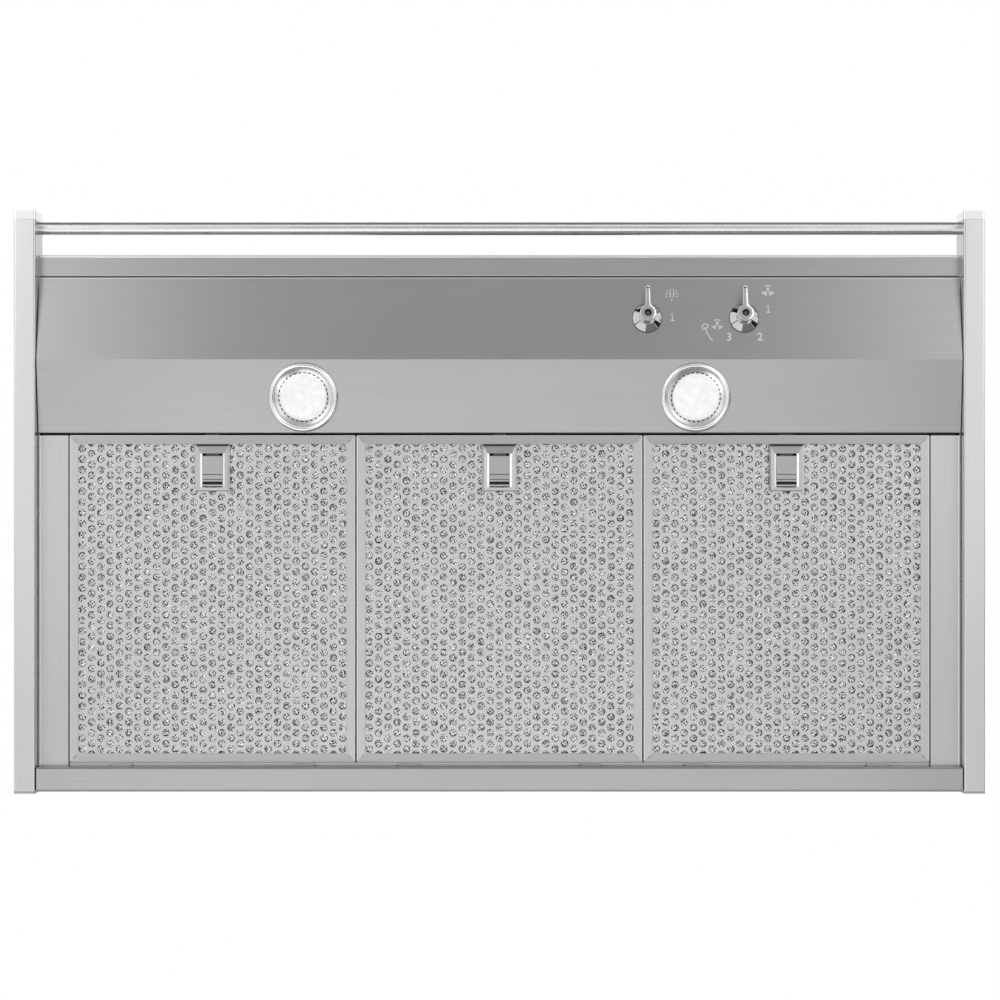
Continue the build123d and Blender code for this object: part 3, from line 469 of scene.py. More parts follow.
# ledge in the gap behind the filters, joined to the rear bar between the filters' tabs
ledgeShape = {"half": 400.8, "front": -27.2, "step": -25.0, "rear": -24.25, "low": -3.3, "high": -2.5,
              "tabs": (-352.4, -182.4, -85.0, 85.0, 182.4, 352.4), "tabHalf": 11.5}

bm = bmesh.new()
half, low, high = ledgeShape["half"], ledgeShape["low"], ledgeShape["high"]
addBlock(bm, -half, half, ledgeShape["front"], ledgeShape["step"], low, high)
starts = [-half] + [tab + ledgeShape["tabHalf"] for tab in ledgeShape["tabs"]]
ends = [tab - ledgeShape["tabHalf"] for tab in ledgeShape["tabs"]] + [half]
for first, last in zip(starts, ends):
    addBlock(bm, first, last, ledgeShape["step"] - 0.1, ledgeShape["rear"], low, high)
finishPiece(bm, "rearLedge", "hood", ["infill"])
print("bars, caps, rail and folds made")


# Lamps: a convex chrome bezel, the slotted ring inside it and a domed glass.

lampShape = {"spacing": 364.6, "bezel": 32.5, "opening": 27.0, "rise": 3.4, "ringInner": 21.0, "ringDepth": 1.9,
             "glass": 21.2, "crown": 0.6, "glassSteps": 8, "bezelSteps": 14, "slots": 32, "slotDepth": 0.9,
             "slotInner": 22.3, "slotOuter": 23.3}


def addBezel(bm):
    # half an ellipse from the opening to the edge
    edge, hole, rise = lampShape["bezel"], lampShape["opening"], lampShape["rise"]
    middle, reach = (edge + hole) / 2, (edge - hole) / 2
    crown = [(middle - reach * cos(pi * step / lampShape["bezelSteps"]),
              rise * (0.2 + 0.8 * sin(pi * step / lampShape["bezelSteps"])))
             for step in range(lampShape["bezelSteps"] + 1)]
    addTurned(bm, [(hole, 0)] + crown + [(edge, 0)], 96)


def addLampRing(bm):
    # a shallow cone with short slots around it; two of every three faces of one band are sunk
    hole, inner, deep = lampShape["opening"], lampShape["ringInner"], lampShape["ringDepth"]
    slotInner, slotOuter = lampShape["slotInner"], lampShape["slotOuter"]
    faces = addTurned(bm, [(hole - 0.1, 1.2), (hole - 0.5, 1.1), (hole - 0.9, 0.3), (slotOuter, -0.4),
                           (slotInner, -0.6), (inner + 0.2, -0.8), (inner, -deep), (hole - 0.1, -deep)],
                      3 * lampShape["slots"])
    bmesh.ops.recalc_face_normals(bm, faces=bm.faces)
    band = [face for face in faces if slotInner < face.calc_center_median().xy.length < slotOuter
            and face.calc_center_median().z > -1]
    band.sort(key=lambda face: atan2(face.calc_center_median().y, face.calc_center_median().x))
    sunk = [face for index, face in enumerate(band) if index % 3]
    walls = bmesh.ops.extrude_face_region(bm, geom=sunk)["geom"]
    floors = [part for part in walls if isinstance(part, bmesh.types.BMFace)]
    bmesh.ops.translate(bm, vec=(0, 0, -lampShape["slotDepth"]),
                        verts=vertsIn(walls))
    bmesh.ops.delete(bm, geom=[face for face in sunk if face.is_valid], context="FACES_ONLY")
    for face in floors:
        face.material_index = 1


def addLampGlass(bm):
    edge, crown, deep = lampShape["glass"], lampShape["crown"], lampShape["ringDepth"]
    quarter = [radians(90 * step / lampShape["glassSteps"]) for step in range(lampShape["glassSteps"] + 1)]
    dome = [(edge * sin(angle), -deep + (deep + crown) * cos(angle)) for angle in quarter]
    addTurned(bm, dome + [(edge, -2 * deep), (0.0, -2 * deep)], 64)


lampPlaces = [fieldPlace(side * lampShape["spacing"] / 2, lampField) for side in (-1, 1)]
for name, shape, slot, materials, nodes in (
        ("lampBezels", addBezel, "polished_steel", ["bezel"], ["lamp_bezels"]),
        ("lampRings", addLampRing, "polished_steel", ["bezel", "shadow"], []),
        ("lampGlasses", addLampGlass, "lamp_glass", ["glass"], ["lamp_glasses"])):
    bm = bmesh.new()
    for place in lampPlaces:
        single = bmesh.new()
        shape(single)
        joinInto(bm, single, place)
    finishPiece(bm, name, "hood", materials, nodes)
print("lamps made")


# Knobs, their rosettes and the printed symbols.

knobShape = {"places": (137.2, 227.4), "rosette": 14.0, "rosetteTop": 7.9, "rosetteRise": 8.0, "coneLow": 1.1,
             "coneHigh": 5.5, "bore": 4.9, "hub": 7.5, "low": 8.3, "high": 20.0, "lever": 26.0, "leverHalf": 2.15,
             "tipHalf": 1.9, "tipRound": 0.7, "leverDeep": 4.4, "blend": 7.0, "recess": 3.4, "recessDeep": 2.6,
             "edge": 0.75, "notchAt": 23.6, "notchHalf": 0.45, "notchDeep": 0.12, "screw": 1.7, "ring": 5.9,
             "grooveHalf": 0.5}


def addRosette(bm):
    wide, top, rise, bore = (knobShape[key] for key in ("rosette", "rosetteTop", "rosetteRise", "bore"))
    low, high = knobShape["coneLow"], knobShape["coneHigh"]
    faces = addTurned(bm, [(bore, 0), (bore, rise), (top - 1.0, rise), (top - 1.0, high + 0.3),
                           (top - 0.3, high + 0.2), (top, high), (wide - 0.7, low), (wide - 0.3, low - 0.1),
                           (wide, low - 0.4), (wide, 0)], 96)
    # the rosette's outer rim takes the dark aluminium, a painted shade all round its edge
    for face in faces:
        if face.calc_center_median().xy.length > wide - 0.65 and face.calc_center_median().z > 0:
            face.material_index = 1


def arcFrom(bm, start, centre, angle, steps):
    # an open chain of edges swept from a start point about a centre
    vert = bm.verts.new((start[0], start[1], 0))
    bmesh.ops.spin(bm, geom=[vert], cent=(centre[0], centre[1], 0), axis=(0, 0, 1), angle=angle, steps=steps)


def addKnob(bm):
    hub, blend, half, tip = (knobShape[key] for key in ("hub", "blend", "leverHalf", "tipHalf"))
    reach, tipRound = knobShape["lever"], knobShape["tipRound"]
    side = half + blend
    rise = sqrt((hub + blend) ** 2 - side ** 2)
    touch = atan2(rise, side)
    arcFrom(bm, (hub * cos(touch), hub * sin(touch)), (0, 0), -(pi + 2 * touch), 56)
    arcFrom(bm, (hub * cos(touch), hub * sin(touch)), (side, rise), -touch, 10)
    arcFrom(bm, (-hub * cos(touch), hub * sin(touch)), (-side, rise), touch, 10)
    outline = [(half, rise), (tip, reach - tipRound), (tip - tipRound, reach), (-tip + tipRound, reach),
               (-tip, reach - tipRound), (-half, rise)]
    chain = [bm.verts.new((x, y, 0)) for x, y in outline]
    for pair in zip(chain, chain[1:]):
        bm.edges.new(pair)
    bmesh.ops.remove_doubles(bm, verts=bm.verts, dist=0.01)
    outer = bm.edges[:]
    bmesh.ops.create_circle(bm, cap_ends=False, segments=40, radius=knobShape["recess"])
    inner = [edge for edge in bm.edges if edge not in set(outer)]
    bmesh.ops.triangle_fill(bm, use_beauty=True, use_dissolve=False, edges=bm.edges[:])
    walls = bmesh.ops.extrude_edge_only(bm, edges=outer)["geom"]
    low = set(vertsIn(walls))
    bmesh.ops.translate(bm, vec=(0, 0, -knobShape["leverDeep"]), verts=list(low))
    lowRim = [part for part in walls if isinstance(part, bmesh.types.BMEdge) and set(part.verts) <= low]
    bmesh.ops.triangle_fill(bm, use_beauty=True, use_dissolve=False, edges=lowRim)
    dip = bmesh.ops.extrude_edge_only(bm, edges=inner)["geom"]
    deep = set(vertsIn(dip))
    bmesh.ops.translate(bm, vec=(0, 0, -knobShape["recessDeep"]), verts=list(deep))
    bmesh.ops.scale(bm, vec=(0.86, 0.86, 1.0), verts=list(deep))
    floorRim = [part for part in dip if isinstance(part, bmesh.types.BMEdge) and set(part.verts) <= deep]
    for face in bmesh.ops.contextual_create(bm, geom=floorRim)["faces"]:
        face.material_index = 1
    roundEdges(bm, outer, knobShape["edge"], 3)
    bmesh.ops.translate(bm, vec=(0, 0, knobShape["high"]), verts=bm.verts)
    neck = knobShape["high"] - knobShape["leverDeep"] + 0.2
    addTurned(bm, [(0, knobShape["low"]), (hub - 0.3, knobShape["low"]), (hub, knobShape["low"] + 0.3),
                   (hub, neck), (0, neck)], 64)
    # the groove along the lever and the annulus on the hub: a turned finish, painted darker than the chrome as shade
    addBlock(bm, -knobShape["grooveHalf"], knobShape["grooveHalf"], hub - 0.9,
             knobShape["notchAt"] - 1.2, knobShape["high"] - 1, knobShape["high"] + 0.04, material=2)
    notch = addBlock(bm, -tip, tip, knobShape["notchAt"] - knobShape["notchHalf"],
                     knobShape["notchAt"] + knobShape["notchHalf"], knobShape["high"] - 1,
                     knobShape["high"] + knobShape["notchDeep"], material=1)
    bmesh.ops.scale(bm, vec=(0.85, 1, 1), verts=notch)
    high, ring = knobShape["high"], knobShape["ring"]
    for face in addTurned(bm, [(knobShape["recess"] + 0.1, high - 0.3), (knobShape["recess"] + 0.1, high + 0.04),
                               (ring - 0.15, high + 0.04), (ring, high - 0.3)], 64):
        face.material_index = 2
    # the screw in the recess takes the dark aluminium, a painted shade
    screw = bmesh.ops.create_icosphere(bm, subdivisions=3, radius=knobShape["screw"])["verts"]
    bmesh.ops.scale(bm, vec=(1, 1, 0.4), verts=screw)
    bmesh.ops.translate(bm, vec=(0, 0, high - knobShape["recessDeep"]), verts=screw)
    for face in {face for vert in screw for face in vert.link_faces}:
        face.material_index = 3


bm = bmesh.new()
for x in knobShape["places"]:
    single = bmesh.new()
    addRosette(single)
    joinInto(bm, single, fieldPlace(x, controlField))
finishPiece(bm, "knobRosettes", "hood", ["rosette", "paintedShade"], ["knob_rosettes"], sharp=25)
for name, x in zip(("light", "fan"), knobShape["places"]):
    bm = bmesh.new()
    addKnob(bm)
    finishPiece(bm, name + "Knob", name + "_knob", ["chrome", "shadow", "turned", "paintedShade"],
                [name + "_knob"], place=fieldPlace(x, controlField), sharp=22)

symbolShape = {"digitHeight": 7.4, "digitDeep": 0.02, "digitGrow": 0.12, "stroke": 0.46, "flatten": 0.1, "lift": 0.02}


def printedPiece(name, curve, place):
    # a curve turned into a thin mesh, then laid on the control field
    spot = bpy.data.objects.new(name, curve)
    scene.collection.objects.link(spot)
    bpy.context.view_layer.update()
    mesh = bpy.data.meshes.new_from_object(spot)
    bpy.data.objects.remove(spot)
    bm = bmesh.new()
    bm.from_mesh(mesh)
    bpy.data.meshes.remove(mesh)
    bmesh.ops.remove_doubles(bm, verts=bm.verts, dist=0.0001)
    finishPiece(bm, name, "hood", ["ink"], place=place)


def printedDigit(name, text, x, y):
    curve = bpy.data.curves.new(name, "FONT")
    curve.body = text
    curve.size = symbolShape["digitHeight"] / 0.7
    curve.align_x, curve.align_y = "CENTER", "CENTER"
    curve.extrude = symbolShape["digitDeep"]
    curve.offset = symbolShape["digitGrow"]
    printedPiece(name, curve, fieldPlace(0, controlField) @ Matrix.Translation((x, y, symbolShape["lift"])))


def printedStrokes(name, strokes, x, y):
    curve = bpy.data.curves.new(name, "CURVE")
    curve.dimensions = "3D"
    curve.bevel_depth = symbolShape["stroke"]
    curve.bevel_resolution = 1
    curve.use_fill_caps = True
    for points in strokes:
        spline = curve.splines.new("POLY")
        spline.points.add(len(points) - 1)
        for point, (px, py) in zip(spline.points, points):
            point.co = (px, py, 0, 1)
    flat = Matrix.Diagonal((1, 1, symbolShape["flatten"], 1))
    printedPiece(name, curve, fieldPlace(0, controlField) @ Matrix.Translation((x, y, symbolShape["lift"])) @ flat)


def arc(cx, cy, radius, start, end, steps=8):
    turns = [radians(start + (end - start) * step / steps) for step in range(steps + 1)]
    return [(cx + radius * cos(turn), cy + radius * sin(turn)) for turn in turns]


def lightStrokes():
    # a bulb drawn as a leaf, eight rays around it and the dot of its base
    strokes = [arc(-2.6, 0.6, 4.4, -36, 36), arc(2.6, 0.6, 4.4, 144, 216), arc(0, -4.7, 0.3, 0, 360)]
    for turn in range(-20, 201, 31):
        angle = radians(turn)
        strokes.append([(radius * cos(angle), 0.4 + radius * sin(angle)) for radius in (4.3, 6.0)])
    return strokes


def fanStrokes(blade):
    # an arc on two stems, and a hatched blade to each side
    strokes = [arc(0, 1.4, 4.4, 52, 128), [(0.7, 0.8), (0.5, 4.0)], [(-0.7, 0.8), (-0.5, 4.0)]]
    for side in (-1, 1):
        for line in range(4):
            root, tip = 1.3 + 1.25 * line, 1.9 + 1.1 * line
            strokes.append([(side * root, 0.3 - 0.2 * line), (side * tip, -blade + 0.75 * line)])
    return strokes


figureOne = [[(-1.6, 2.0), (0.0, 3.5), (0.0, -3.5)], [(-1.6, -3.5), (1.8, -3.5)]]
boostArrow = [[(-8.4, 0.9), (-12.3, 2.0), (-14.2, -1.2), (-13.2, -4.0), (-11.0, -1.9), (-9.0, -2.0), (-8.4, 0.9)],
              arc(16.0, 4.6, 28.0, 195, 224, 10)]

symbolPlaces = {"lightSymbol": (160.6, 22.4), "lightOne": (160.8, 1.4), "fanSymbol": (250.2, 26.0),
                "fanOne": (250.2, 9.4), "fanTwo": (242.0, -18.2), "fanThree": (213.2, -18.2),
                "fanBoostSymbol": (202.4, -7.2)}
printedStrokes("lightSymbol", lightStrokes(), *symbolPlaces["lightSymbol"])
printedStrokes("lightOne", figureOne, *symbolPlaces["lightOne"])
printedStrokes("fanSymbol", fanStrokes(4.4), *symbolPlaces["fanSymbol"])
printedStrokes("fanOne", figureOne, *symbolPlaces["fanOne"])
printedDigit("fanTwo", "2", *symbolPlaces["fanTwo"])
printedDigit("fanThree", "3", *symbolPlaces["fanThree"])
printedStrokes("fanBoostSymbol", fanStrokes(3.4) + boostArrow, *symbolPlaces["fanBoostSymbol"])
print("knobs and symbols made")


# Grease filters: mitred frame, perforated sheets, crumpled foil and latch.

filterShape = {"pitch": 267.4, "width": 266.5, "front": -332.5, "rear": -27.6, "low": -6.0, "high": 4.0,
               "wall": 0.8, "lip": 8.5, "round": 0.8, "lipRound": 0.45, "mitreGap": 0.3, "rearLean": 0.5,
               "tabHalf": 10.0, "tabSpacing": 85.0, "tabRear": -19.2, "tabLow": -4.7, "tabThick": 1.0, "tabRound": 2.0,
               "noseHalf": 6.3, "noseLow": -3.7, "noseHigh": -1.7}
perforation = {"hole": 3.7, "pitch": 10.0, "sides": 12, "thickness": 0.6}
foilShape = {"step": 1.6, "height": -3.0, "swing": 0.8, "wave": 3.1, "drift": 0.4, "seed": 11}
latchShape = {"half": 16.5, "front": -323.8, "rear": -280.3, "top": 2.2, "sheet": 0.8, "sideSlope": 2.0,
              "frontSlope": 1.8, "rearSlope": 0.6, "drop": 0.55, "frontDrop": 1.5, "windowHalf": 9.5,
              "windowSlope": 1.9, "windowDrop": 0.7, "windowFront": -315.4, "windowRear": -284.1,
              "bow": 0.6, "bowCuts": 7}
slideShape = {"half": 9.2, "front": -313.4, "rear": -284.4, "low": -5.6, "high": -2.0, "nub": 0.9,
              "nubPitchX": 6.0, "nubPitchY": 5.2, "nubFront": -311.0, "grooves": (-296.1, -291.4), "groove": 0.6,
              "grooveDeep": 0.35, "slotFront": -289.2, "slotRear": -286.7, "slotDeep": 2.2, "lipDrop": 1.2,
              "noseHalf": 6.0, "noseTip": -333.8, "noseThick": 1.4}


def frameMember(bm, length, place, lean):
    # a channel with its open side inwards, mitred at both ends
    wall, lip, tall = filterShape["wall"], filterShape["lip"], filterShape["high"] - filterShape["low"]
    outline = [(lip, lean), (0, 0), (0, tall), (lip, tall), (lip, tall - wall), (wall, tall - wall), (wall, wall),
               (lip, wall + lean)]
    verts = addProfile(bm, outline, length)
    lengthwise = [edge for edge in edgesOf(verts) if runsAlong(edge, 0)]
    roundEdges(bm, [edge for edge in lengthwise if abs(edge.verts[0].co.y) < 0.01], filterShape["round"], 4)
    inner = [edge for edge in bm.edges if runsAlong(edge, 0) and edge.verts[0].co.y > lip - 0.01
             and (edge.verts[0].co.z < lean + 0.01 or edge.verts[0].co.z > tall - 0.01)]
    roundEdges(bm, inner, filterShape["lipRound"], 2)
    # the rounded outer corner of each member takes the lighter steel, a painted highlight along the frame's edge
    highlightReach = filterShape["round"] + 0.01
    for face in bm.faces:
        if all(vert.co.y < highlightReach and vert.co.z < highlightReach for vert in face.verts):
            face.material_index = 4
    gap = filterShape["mitreGap"]
    for x, side in ((gap, -1), (length - gap, 1)):
        bmesh.ops.bisect_plane(bm, geom=allOf(bm), dist=0.0001, plane_co=(x, 0, 0),
                               plane_no=(side, 1, 0), clear_outer=True)
        bmesh.ops.edgenet_fill(bm, edges=[edge for edge in bm.edges if edge.is_boundary])
    bmesh.ops.transform(bm, matrix=place, verts=bm.verts)


def makeFrame():
    bm = bmesh.new()
    half, front, rear = filterShape["width"] / 2, filterShape["front"], filterShape["rear"]
    low = filterShape["low"]
    for corner, turn, length in (((-half, front, low), 0, 2 * half), ((half, front, low), 90, rear - front),
                                 ((half, rear, low), 180, 2 * half), ((-half, rear, low), 270, rear - front)):
        member = bmesh.new()
        frameMember(member, length, Matrix.Translation(corner) @ Matrix.Rotation(radians(turn), 4, "Z"),
                    filterShape["rearLean"] if turn == 180 else 0)
        # side members take the lighter aluminium: a painted highlight beside the real change in brushing direction
        for face in member.faces:
            if face.material_index == 0 and turn in (90, 270):
                face.material_index = 1
        joinInto(bm, member)
    for side in (-1, 1):
        middle = side * filterShape["tabSpacing"]
        tab = bmesh.new()
        addBlock(tab, middle - filterShape["tabHalf"], middle + filterShape["tabHalf"], rear - 0.6,
                 filterShape["tabRear"], filterShape["tabLow"], filterShape["tabLow"] + filterShape["tabThick"])
        corners = [edge for edge in tab.edges if abs(edge.verts[0].co.z - edge.verts[1].co.z) > 0.5
                   and edge.verts[0].co.y > rear + 1]
        roundEdges(tab, corners, filterShape["tabRound"], 4)
        joinInto(bm, tab)
    slot = bmesh.new()
    addBlock(slot, -filterShape["noseHalf"], filterShape["noseHalf"], front - 0.04, front + 0.3,
             filterShape["noseLow"], filterShape["noseHigh"], material=3)
    joinInto(bm, slot)
    return bm


def makePerforated(cleared):
    # one hexagonal cell around one hole, repeated over the sheet and cut off under the frame
    bm = bmesh.new()
    pitch, hole = perforation["pitch"], perforation["hole"]
    bmesh.ops.create_circle(bm, cap_ends=False, segments=perforation["sides"], radius=hole)
    drawn = bmesh.ops.extrude_edge_only(bm, edges=bm.edges[:])["geom"]
    for vert in vertsIn(drawn):
        angle = atan2(vert.co.y, vert.co.x) % (pi / 3) - pi / 6
        vert.co = vert.co.normalized() * (pitch / 2 / cos(angle))
    cell = allOf(bm)
    column = pitch * sqrt(3) / 2
    halfX = filterShape["width"] / 2 - filterShape["wall"]
    front, rear = filterShape["front"] + filterShape["wall"], filterShape["rear"] - filterShape["wall"]
    middle = (front + rear) / 2
    columns, rows = int(halfX / column) + 2, int((rear - front) / 2 / pitch) + 2
    for across in range(-columns, columns + 1):
        for along in range(-rows, rows + 1):
            copied = bmesh.ops.duplicate(bm, geom=cell)["geom"]
            bmesh.ops.translate(bm, vec=(across * column, middle + pitch * (along + 0.5 * (across % 2)), 0),
                                verts=vertsIn(copied))
    bmesh.ops.delete(bm, geom=vertsIn(cell), context="VERTS")
    bmesh.ops.remove_doubles(bm, verts=bm.verts, dist=0.01)
    for edge, outwards in (((halfX, 0, 0), (1, 0, 0)), ((-halfX, 0, 0), (-1, 0, 0)), ((0, rear, 0), (0, 1, 0)),
                           ((0, front, 0), (0, -1, 0))):
        bmesh.ops.bisect_plane(bm, geom=allOf(bm), dist=0.0001, plane_co=edge,
                               plane_no=outwards, clear_outer=True)
    if cleared:
        clearLatch(bm)
    bmesh.ops.recalc_face_normals(bm, faces=bm.faces)
    bmesh.ops.solidify(bm, geom=allOf(bm), thickness=perforation["thickness"])
    bmesh.ops.translate(bm, vec=(0, 0, -min(vert.co.z for vert in bm.verts)), verts=bm.verts)
    return bm


def makeSheets():
    bm = makePerforated(True)
    bmesh.ops.translate(bm, vec=(0, 0, filterShape["low"] + filterShape["wall"]), verts=bm.verts)
    back = makePerforated(False)
    joinInto(bm, back, Matrix.Translation((0, 0, filterShape["high"] - filterShape["wall"]
                                           - perforation["thickness"])))
    return bm


def clearLatch(bm):
    # nothing runs on behind the latch plate
    half, end = latchShape["half"] - 1.5, latchShape["rear"]
    hidden = [face for face in bm.faces if abs(face.calc_center_median().x) < half
              and face.calc_center_median().y < end]
    bmesh.ops.delete(bm, geom=hidden, context="FACES")


def makeFoil(seed):
    bm = bmesh.new()
    width = filterShape["width"] - 2 * filterShape["wall"] - 1
    length = filterShape["rear"] - filterShape["front"] - 2 * filterShape["wall"] - 1
    step, swing, drift = foilShape["step"], foilShape["swing"], foilShape["drift"]
    bmesh.ops.create_grid(bm, x_segments=int(width / step), y_segments=int(length / step), size=0.5)
    bmesh.ops.scale(bm, vec=(width, length, 1), verts=bm.verts)
    bmesh.ops.translate(bm, vec=(0, (filterShape["front"] + filterShape["rear"]) / 2, 0), verts=bm.verts)
    for vert in bm.verts:
        lump = noise.noise_vector(Vector((vert.co.x / foilShape["wave"] + seed, vert.co.y / foilShape["wave"],
                                          seed)))
        vert.co += Vector((drift * lump.x, drift * lump.y,
                           foilShape["height"] + swing * max(-1.0, min(1.0, 1.6 * lump.z))))
    clearLatch(bm)
    return bm


def makeLatchPlate():
    # a pressed cover: sloping sides, a window with sloping sides, and a bowed rear end to the window
    bm = bmesh.new()
    half, front, rear, low = latchShape["half"], latchShape["front"], latchShape["rear"], filterShape["low"]
    addBlock(bm, -half, half, front, rear, low, latchShape["top"])
    bmesh.ops.recalc_face_normals(bm, faces=bm.faces)
    bmesh.ops.delete(bm, geom=[face for face in bm.faces if face.normal.z > 0.9], context="FACES_ONLY")
    top = next(face for face in bm.faces if face.normal.z < -0.9)
    rim = top.verts[:]

    def drawIn(x, yFront, yRear, z):
        bmesh.ops.inset_region(bm, faces=[top], thickness=0.3, depth=0.0)
        for vert in top.verts:
            vert.co = Vector((x if vert.co.x > 0 else -x,
                              yFront if vert.co.y < (front + rear) / 2 else yRear, z))

    slopes = (latchShape["sideSlope"], latchShape["frontSlope"], latchShape["rearSlope"])
    drawIn(half - slopes[0], front + slopes[1], rear - slopes[2], low)
    for vert in rim:
        vert.co.z = low + latchShape["frontDrop" if vert.co.y < (front + rear) / 2 else "drop"]
    window, slope, deep = latchShape["windowHalf"], latchShape["windowSlope"], latchShape["windowDrop"]
    drawIn(window + slope, latchShape["windowFront"], latchShape["windowRear"], low)
    drawIn(window, latchShape["windowFront"] + 0.1, latchShape["windowRear"] - 0.1, low + deep)
    bm.normal_update()
    # the window's side slopes take the lighter steel, a painted highlight, and the front band the dark aluminium, a
    # painted shade
    for face in bm.faces:
        if abs(face.calc_center_median().x) < window + slope and abs(face.normal.x) > 0.3:
            face.material_index = 2
        elif face.calc_center_median().y < front + slopes[1]:
            face.material_index = 1
    rearEdges = [edge for edge in bm.edges if all(vert.co.y > latchShape["windowRear"] - 0.2 and
                                                  vert.co.y < latchShape["windowRear"] + 0.1
                                                  for vert in edge.verts) and runsAlong(edge, 0)]
    bmesh.ops.delete(bm, geom=[top], context="FACES_ONLY")
    cut = bmesh.ops.subdivide_edges(bm, edges=rearEdges, cuts=latchShape["bowCuts"])["geom_inner"]
    for vert in set(vertsIn(cut)):
        vert.co.y += latchShape["bow"] * (1 - (vert.co.x / (window + slope)) ** 2)
    bmesh.ops.solidify(bm, geom=allOf(bm), thickness=latchShape["sheet"])
    return bm


def makeLatchSlide():
    bm = bmesh.new()
    half, front, rear, low, high = (slideShape[key] for key in ("half", "front", "rear", "low", "high"))
    slotFront, slotRear, deep = (slideShape[key] for key in ("slotFront", "slotRear", "slotDeep"))
    outline = [(front, high), (front, low + 0.6), (front + 0.6, low)]
    for groove in slideShape["grooves"]:
        wide, sunk = slideShape["groove"], low + slideShape["grooveDeep"]
        outline += [(groove - 0.1, low), (groove, sunk), (groove + wide, sunk), (groove + wide + 0.1, low)]
    outline += [(slotFront, low), (slotFront + 0.1, low + deep), (slotRear - 0.1, low + deep),
                (slotRear, low + slideShape["lipDrop"] + 0.3), (slotRear + 0.4, low + slideShape["lipDrop"]),
                (rear - 0.4, low + slideShape["lipDrop"]), (rear, low + slideShape["lipDrop"] + 0.5), (rear, high)]
    bmesh.ops.translate(bm, vec=(-half, 0, 0), verts=addProfile(bm, outline, 2 * half))
    bmesh.ops.recalc_face_normals(bm, faces=bm.faces)
    # the grooves take the dark aluminium, a painted shade; the slot takes the shadow finish
    for face in bm.faces:
        middle = face.calc_center_median()
        inSlot = slotFront < middle.y < slotRear and low + 0.5 < middle.z < high - 0.2
        inGroove = abs(middle.z - low - slideShape["grooveDeep"]) < 0.01
        if (inSlot or inGroove) and abs(face.normal.x) < 0.5:
            face.material_index = 2 if inSlot else 1
    # the nose takes the dark aluminium, a painted shade in the gap it sits in
    nose = addBlock(bm, -slideShape["noseHalf"], slideShape["noseHalf"], slideShape["noseTip"], front + 1,
                    high - slideShape["noseThick"], high, material=1)
    tip = [edge for edge in edgesOf(nose) if all(vert.co.y < slideShape["noseTip"] + 0.01
                                                 and vert.co.z < high - 1 for vert in edge.verts)]
    roundEdges(bm, tip, 0.9, 3)
    for across in (-1, 0, 1):
        for along in (0, 1, 2):
            nub = bmesh.ops.create_icosphere(bm, subdivisions=2, radius=slideShape["nub"])["verts"]
            bmesh.ops.scale(bm, vec=(1, 1, 0.3), verts=nub)
            bmesh.ops.translate(bm, vec=(slideShape["nubPitchX"] * across,
                                         slideShape["nubFront"] + slideShape["nubPitchY"] * along, low), verts=nub)
    return bm


# without a seed Blender's noise differs from run to run
noise.seed_set(foilShape["seed"])
sheets, frames = makeSheets(), makeFrame()
for index, side in enumerate(filterSides):
    shift = Matrix.Translation(((index - 1) * filterShape["pitch"], 0, 0))
    body, node, name = "filter_" + side, "filter_" + side, side + "Filter"
    finishPiece(frames.copy(), name + "Frame", body,
                ["aluminiumAcross", "aluminiumAlong", "paintedShade", "shadow", "fold"], [node + "_frame"], place=shift,
                sharp=8)
    finishPiece(sheets.copy(), name + "Sheets", body, ["sheet"], [node + "_sheets"],
                place=shift)
    finishPiece(makeFoil(7.3 * index), name + "Foil", body, ["foil"], [node + "_mesh"],
                place=shift, sharp=8, closed=False)
    finishPiece(makeLatchPlate(), name + "LatchPlate", body, ["aluminiumAcross", "paintedShade", "fold"],
                [node + "_latch_plate"], place=shift, sharp=15)
    finishPiece(makeLatchSlide(), name + "LatchSlide", "latch_" + side,
                ["aluminiumAcross", "paintedShade", "shadow"], [node + "_latch_slide"], place=shift, sharp=25)
sheets.free()
frames.free()
print("filters made")


# Screws that hold the hidden boxes.

screwShape = {"head": 3.4, "rise": 1.9, "slot": 0.7, "slotDeep": 0.9, "inset": 7.0,
              "motorReach": 0.36}


def addScrew(bm, place):
    # a domed head with a cross recess
    single = bmesh.new()
    head, rise = screwShape["head"], screwShape["rise"]
    addTurned(single, [(0, 0), (head, 0), (head, rise * 0.35), (head * 0.85, rise * 0.75), (head * 0.5, rise),
                       (0, rise)], 24)
    for wide, deep in ((head * 1.1, screwShape["slot"]), (screwShape["slot"], head * 1.1)):
        addBlock(single, -wide / 2, wide / 2, -deep / 2, deep / 2, rise - screwShape["slotDeep"], rise + 0.02,
                 material=1)
    joinInto(bm, single, place)


screws = bmesh.new()
forward = Matrix.Rotation(pi / 2, 4, "X")
for node in ("terminal_box", "blower_box"):
    low, high = nodeBox(node)
    for x in (low[0] + screwShape["inset"], high[0] - screwShape["inset"]):
        for z in (low[2] + screwShape["inset"], high[2] - screwShape["inset"]):
            addScrew(screws, Matrix.Translation((x, low[1], z)) @ forward)
low, high = nodeBox("motor")
for angle in (45, 135, 225, 315):
    reach, turn = screwShape["motorReach"] * (high[2] - low[2]), radians(angle)
    centre = ((low[1] + high[1]) / 2 + reach * cos(turn), (low[2] + high[2]) / 2 + reach * sin(turn))
    addScrew(screws, Matrix.Translation((high[0], *centre)) @ Matrix.Rotation(pi / 2, 4, "Y"))
finishPiece(screws, "boxScrews", "hood", ["spring", "shadow"])
print("screws made")


# Studio: floor, soft lights, grey cards for the reflections, white surroundings and camera.

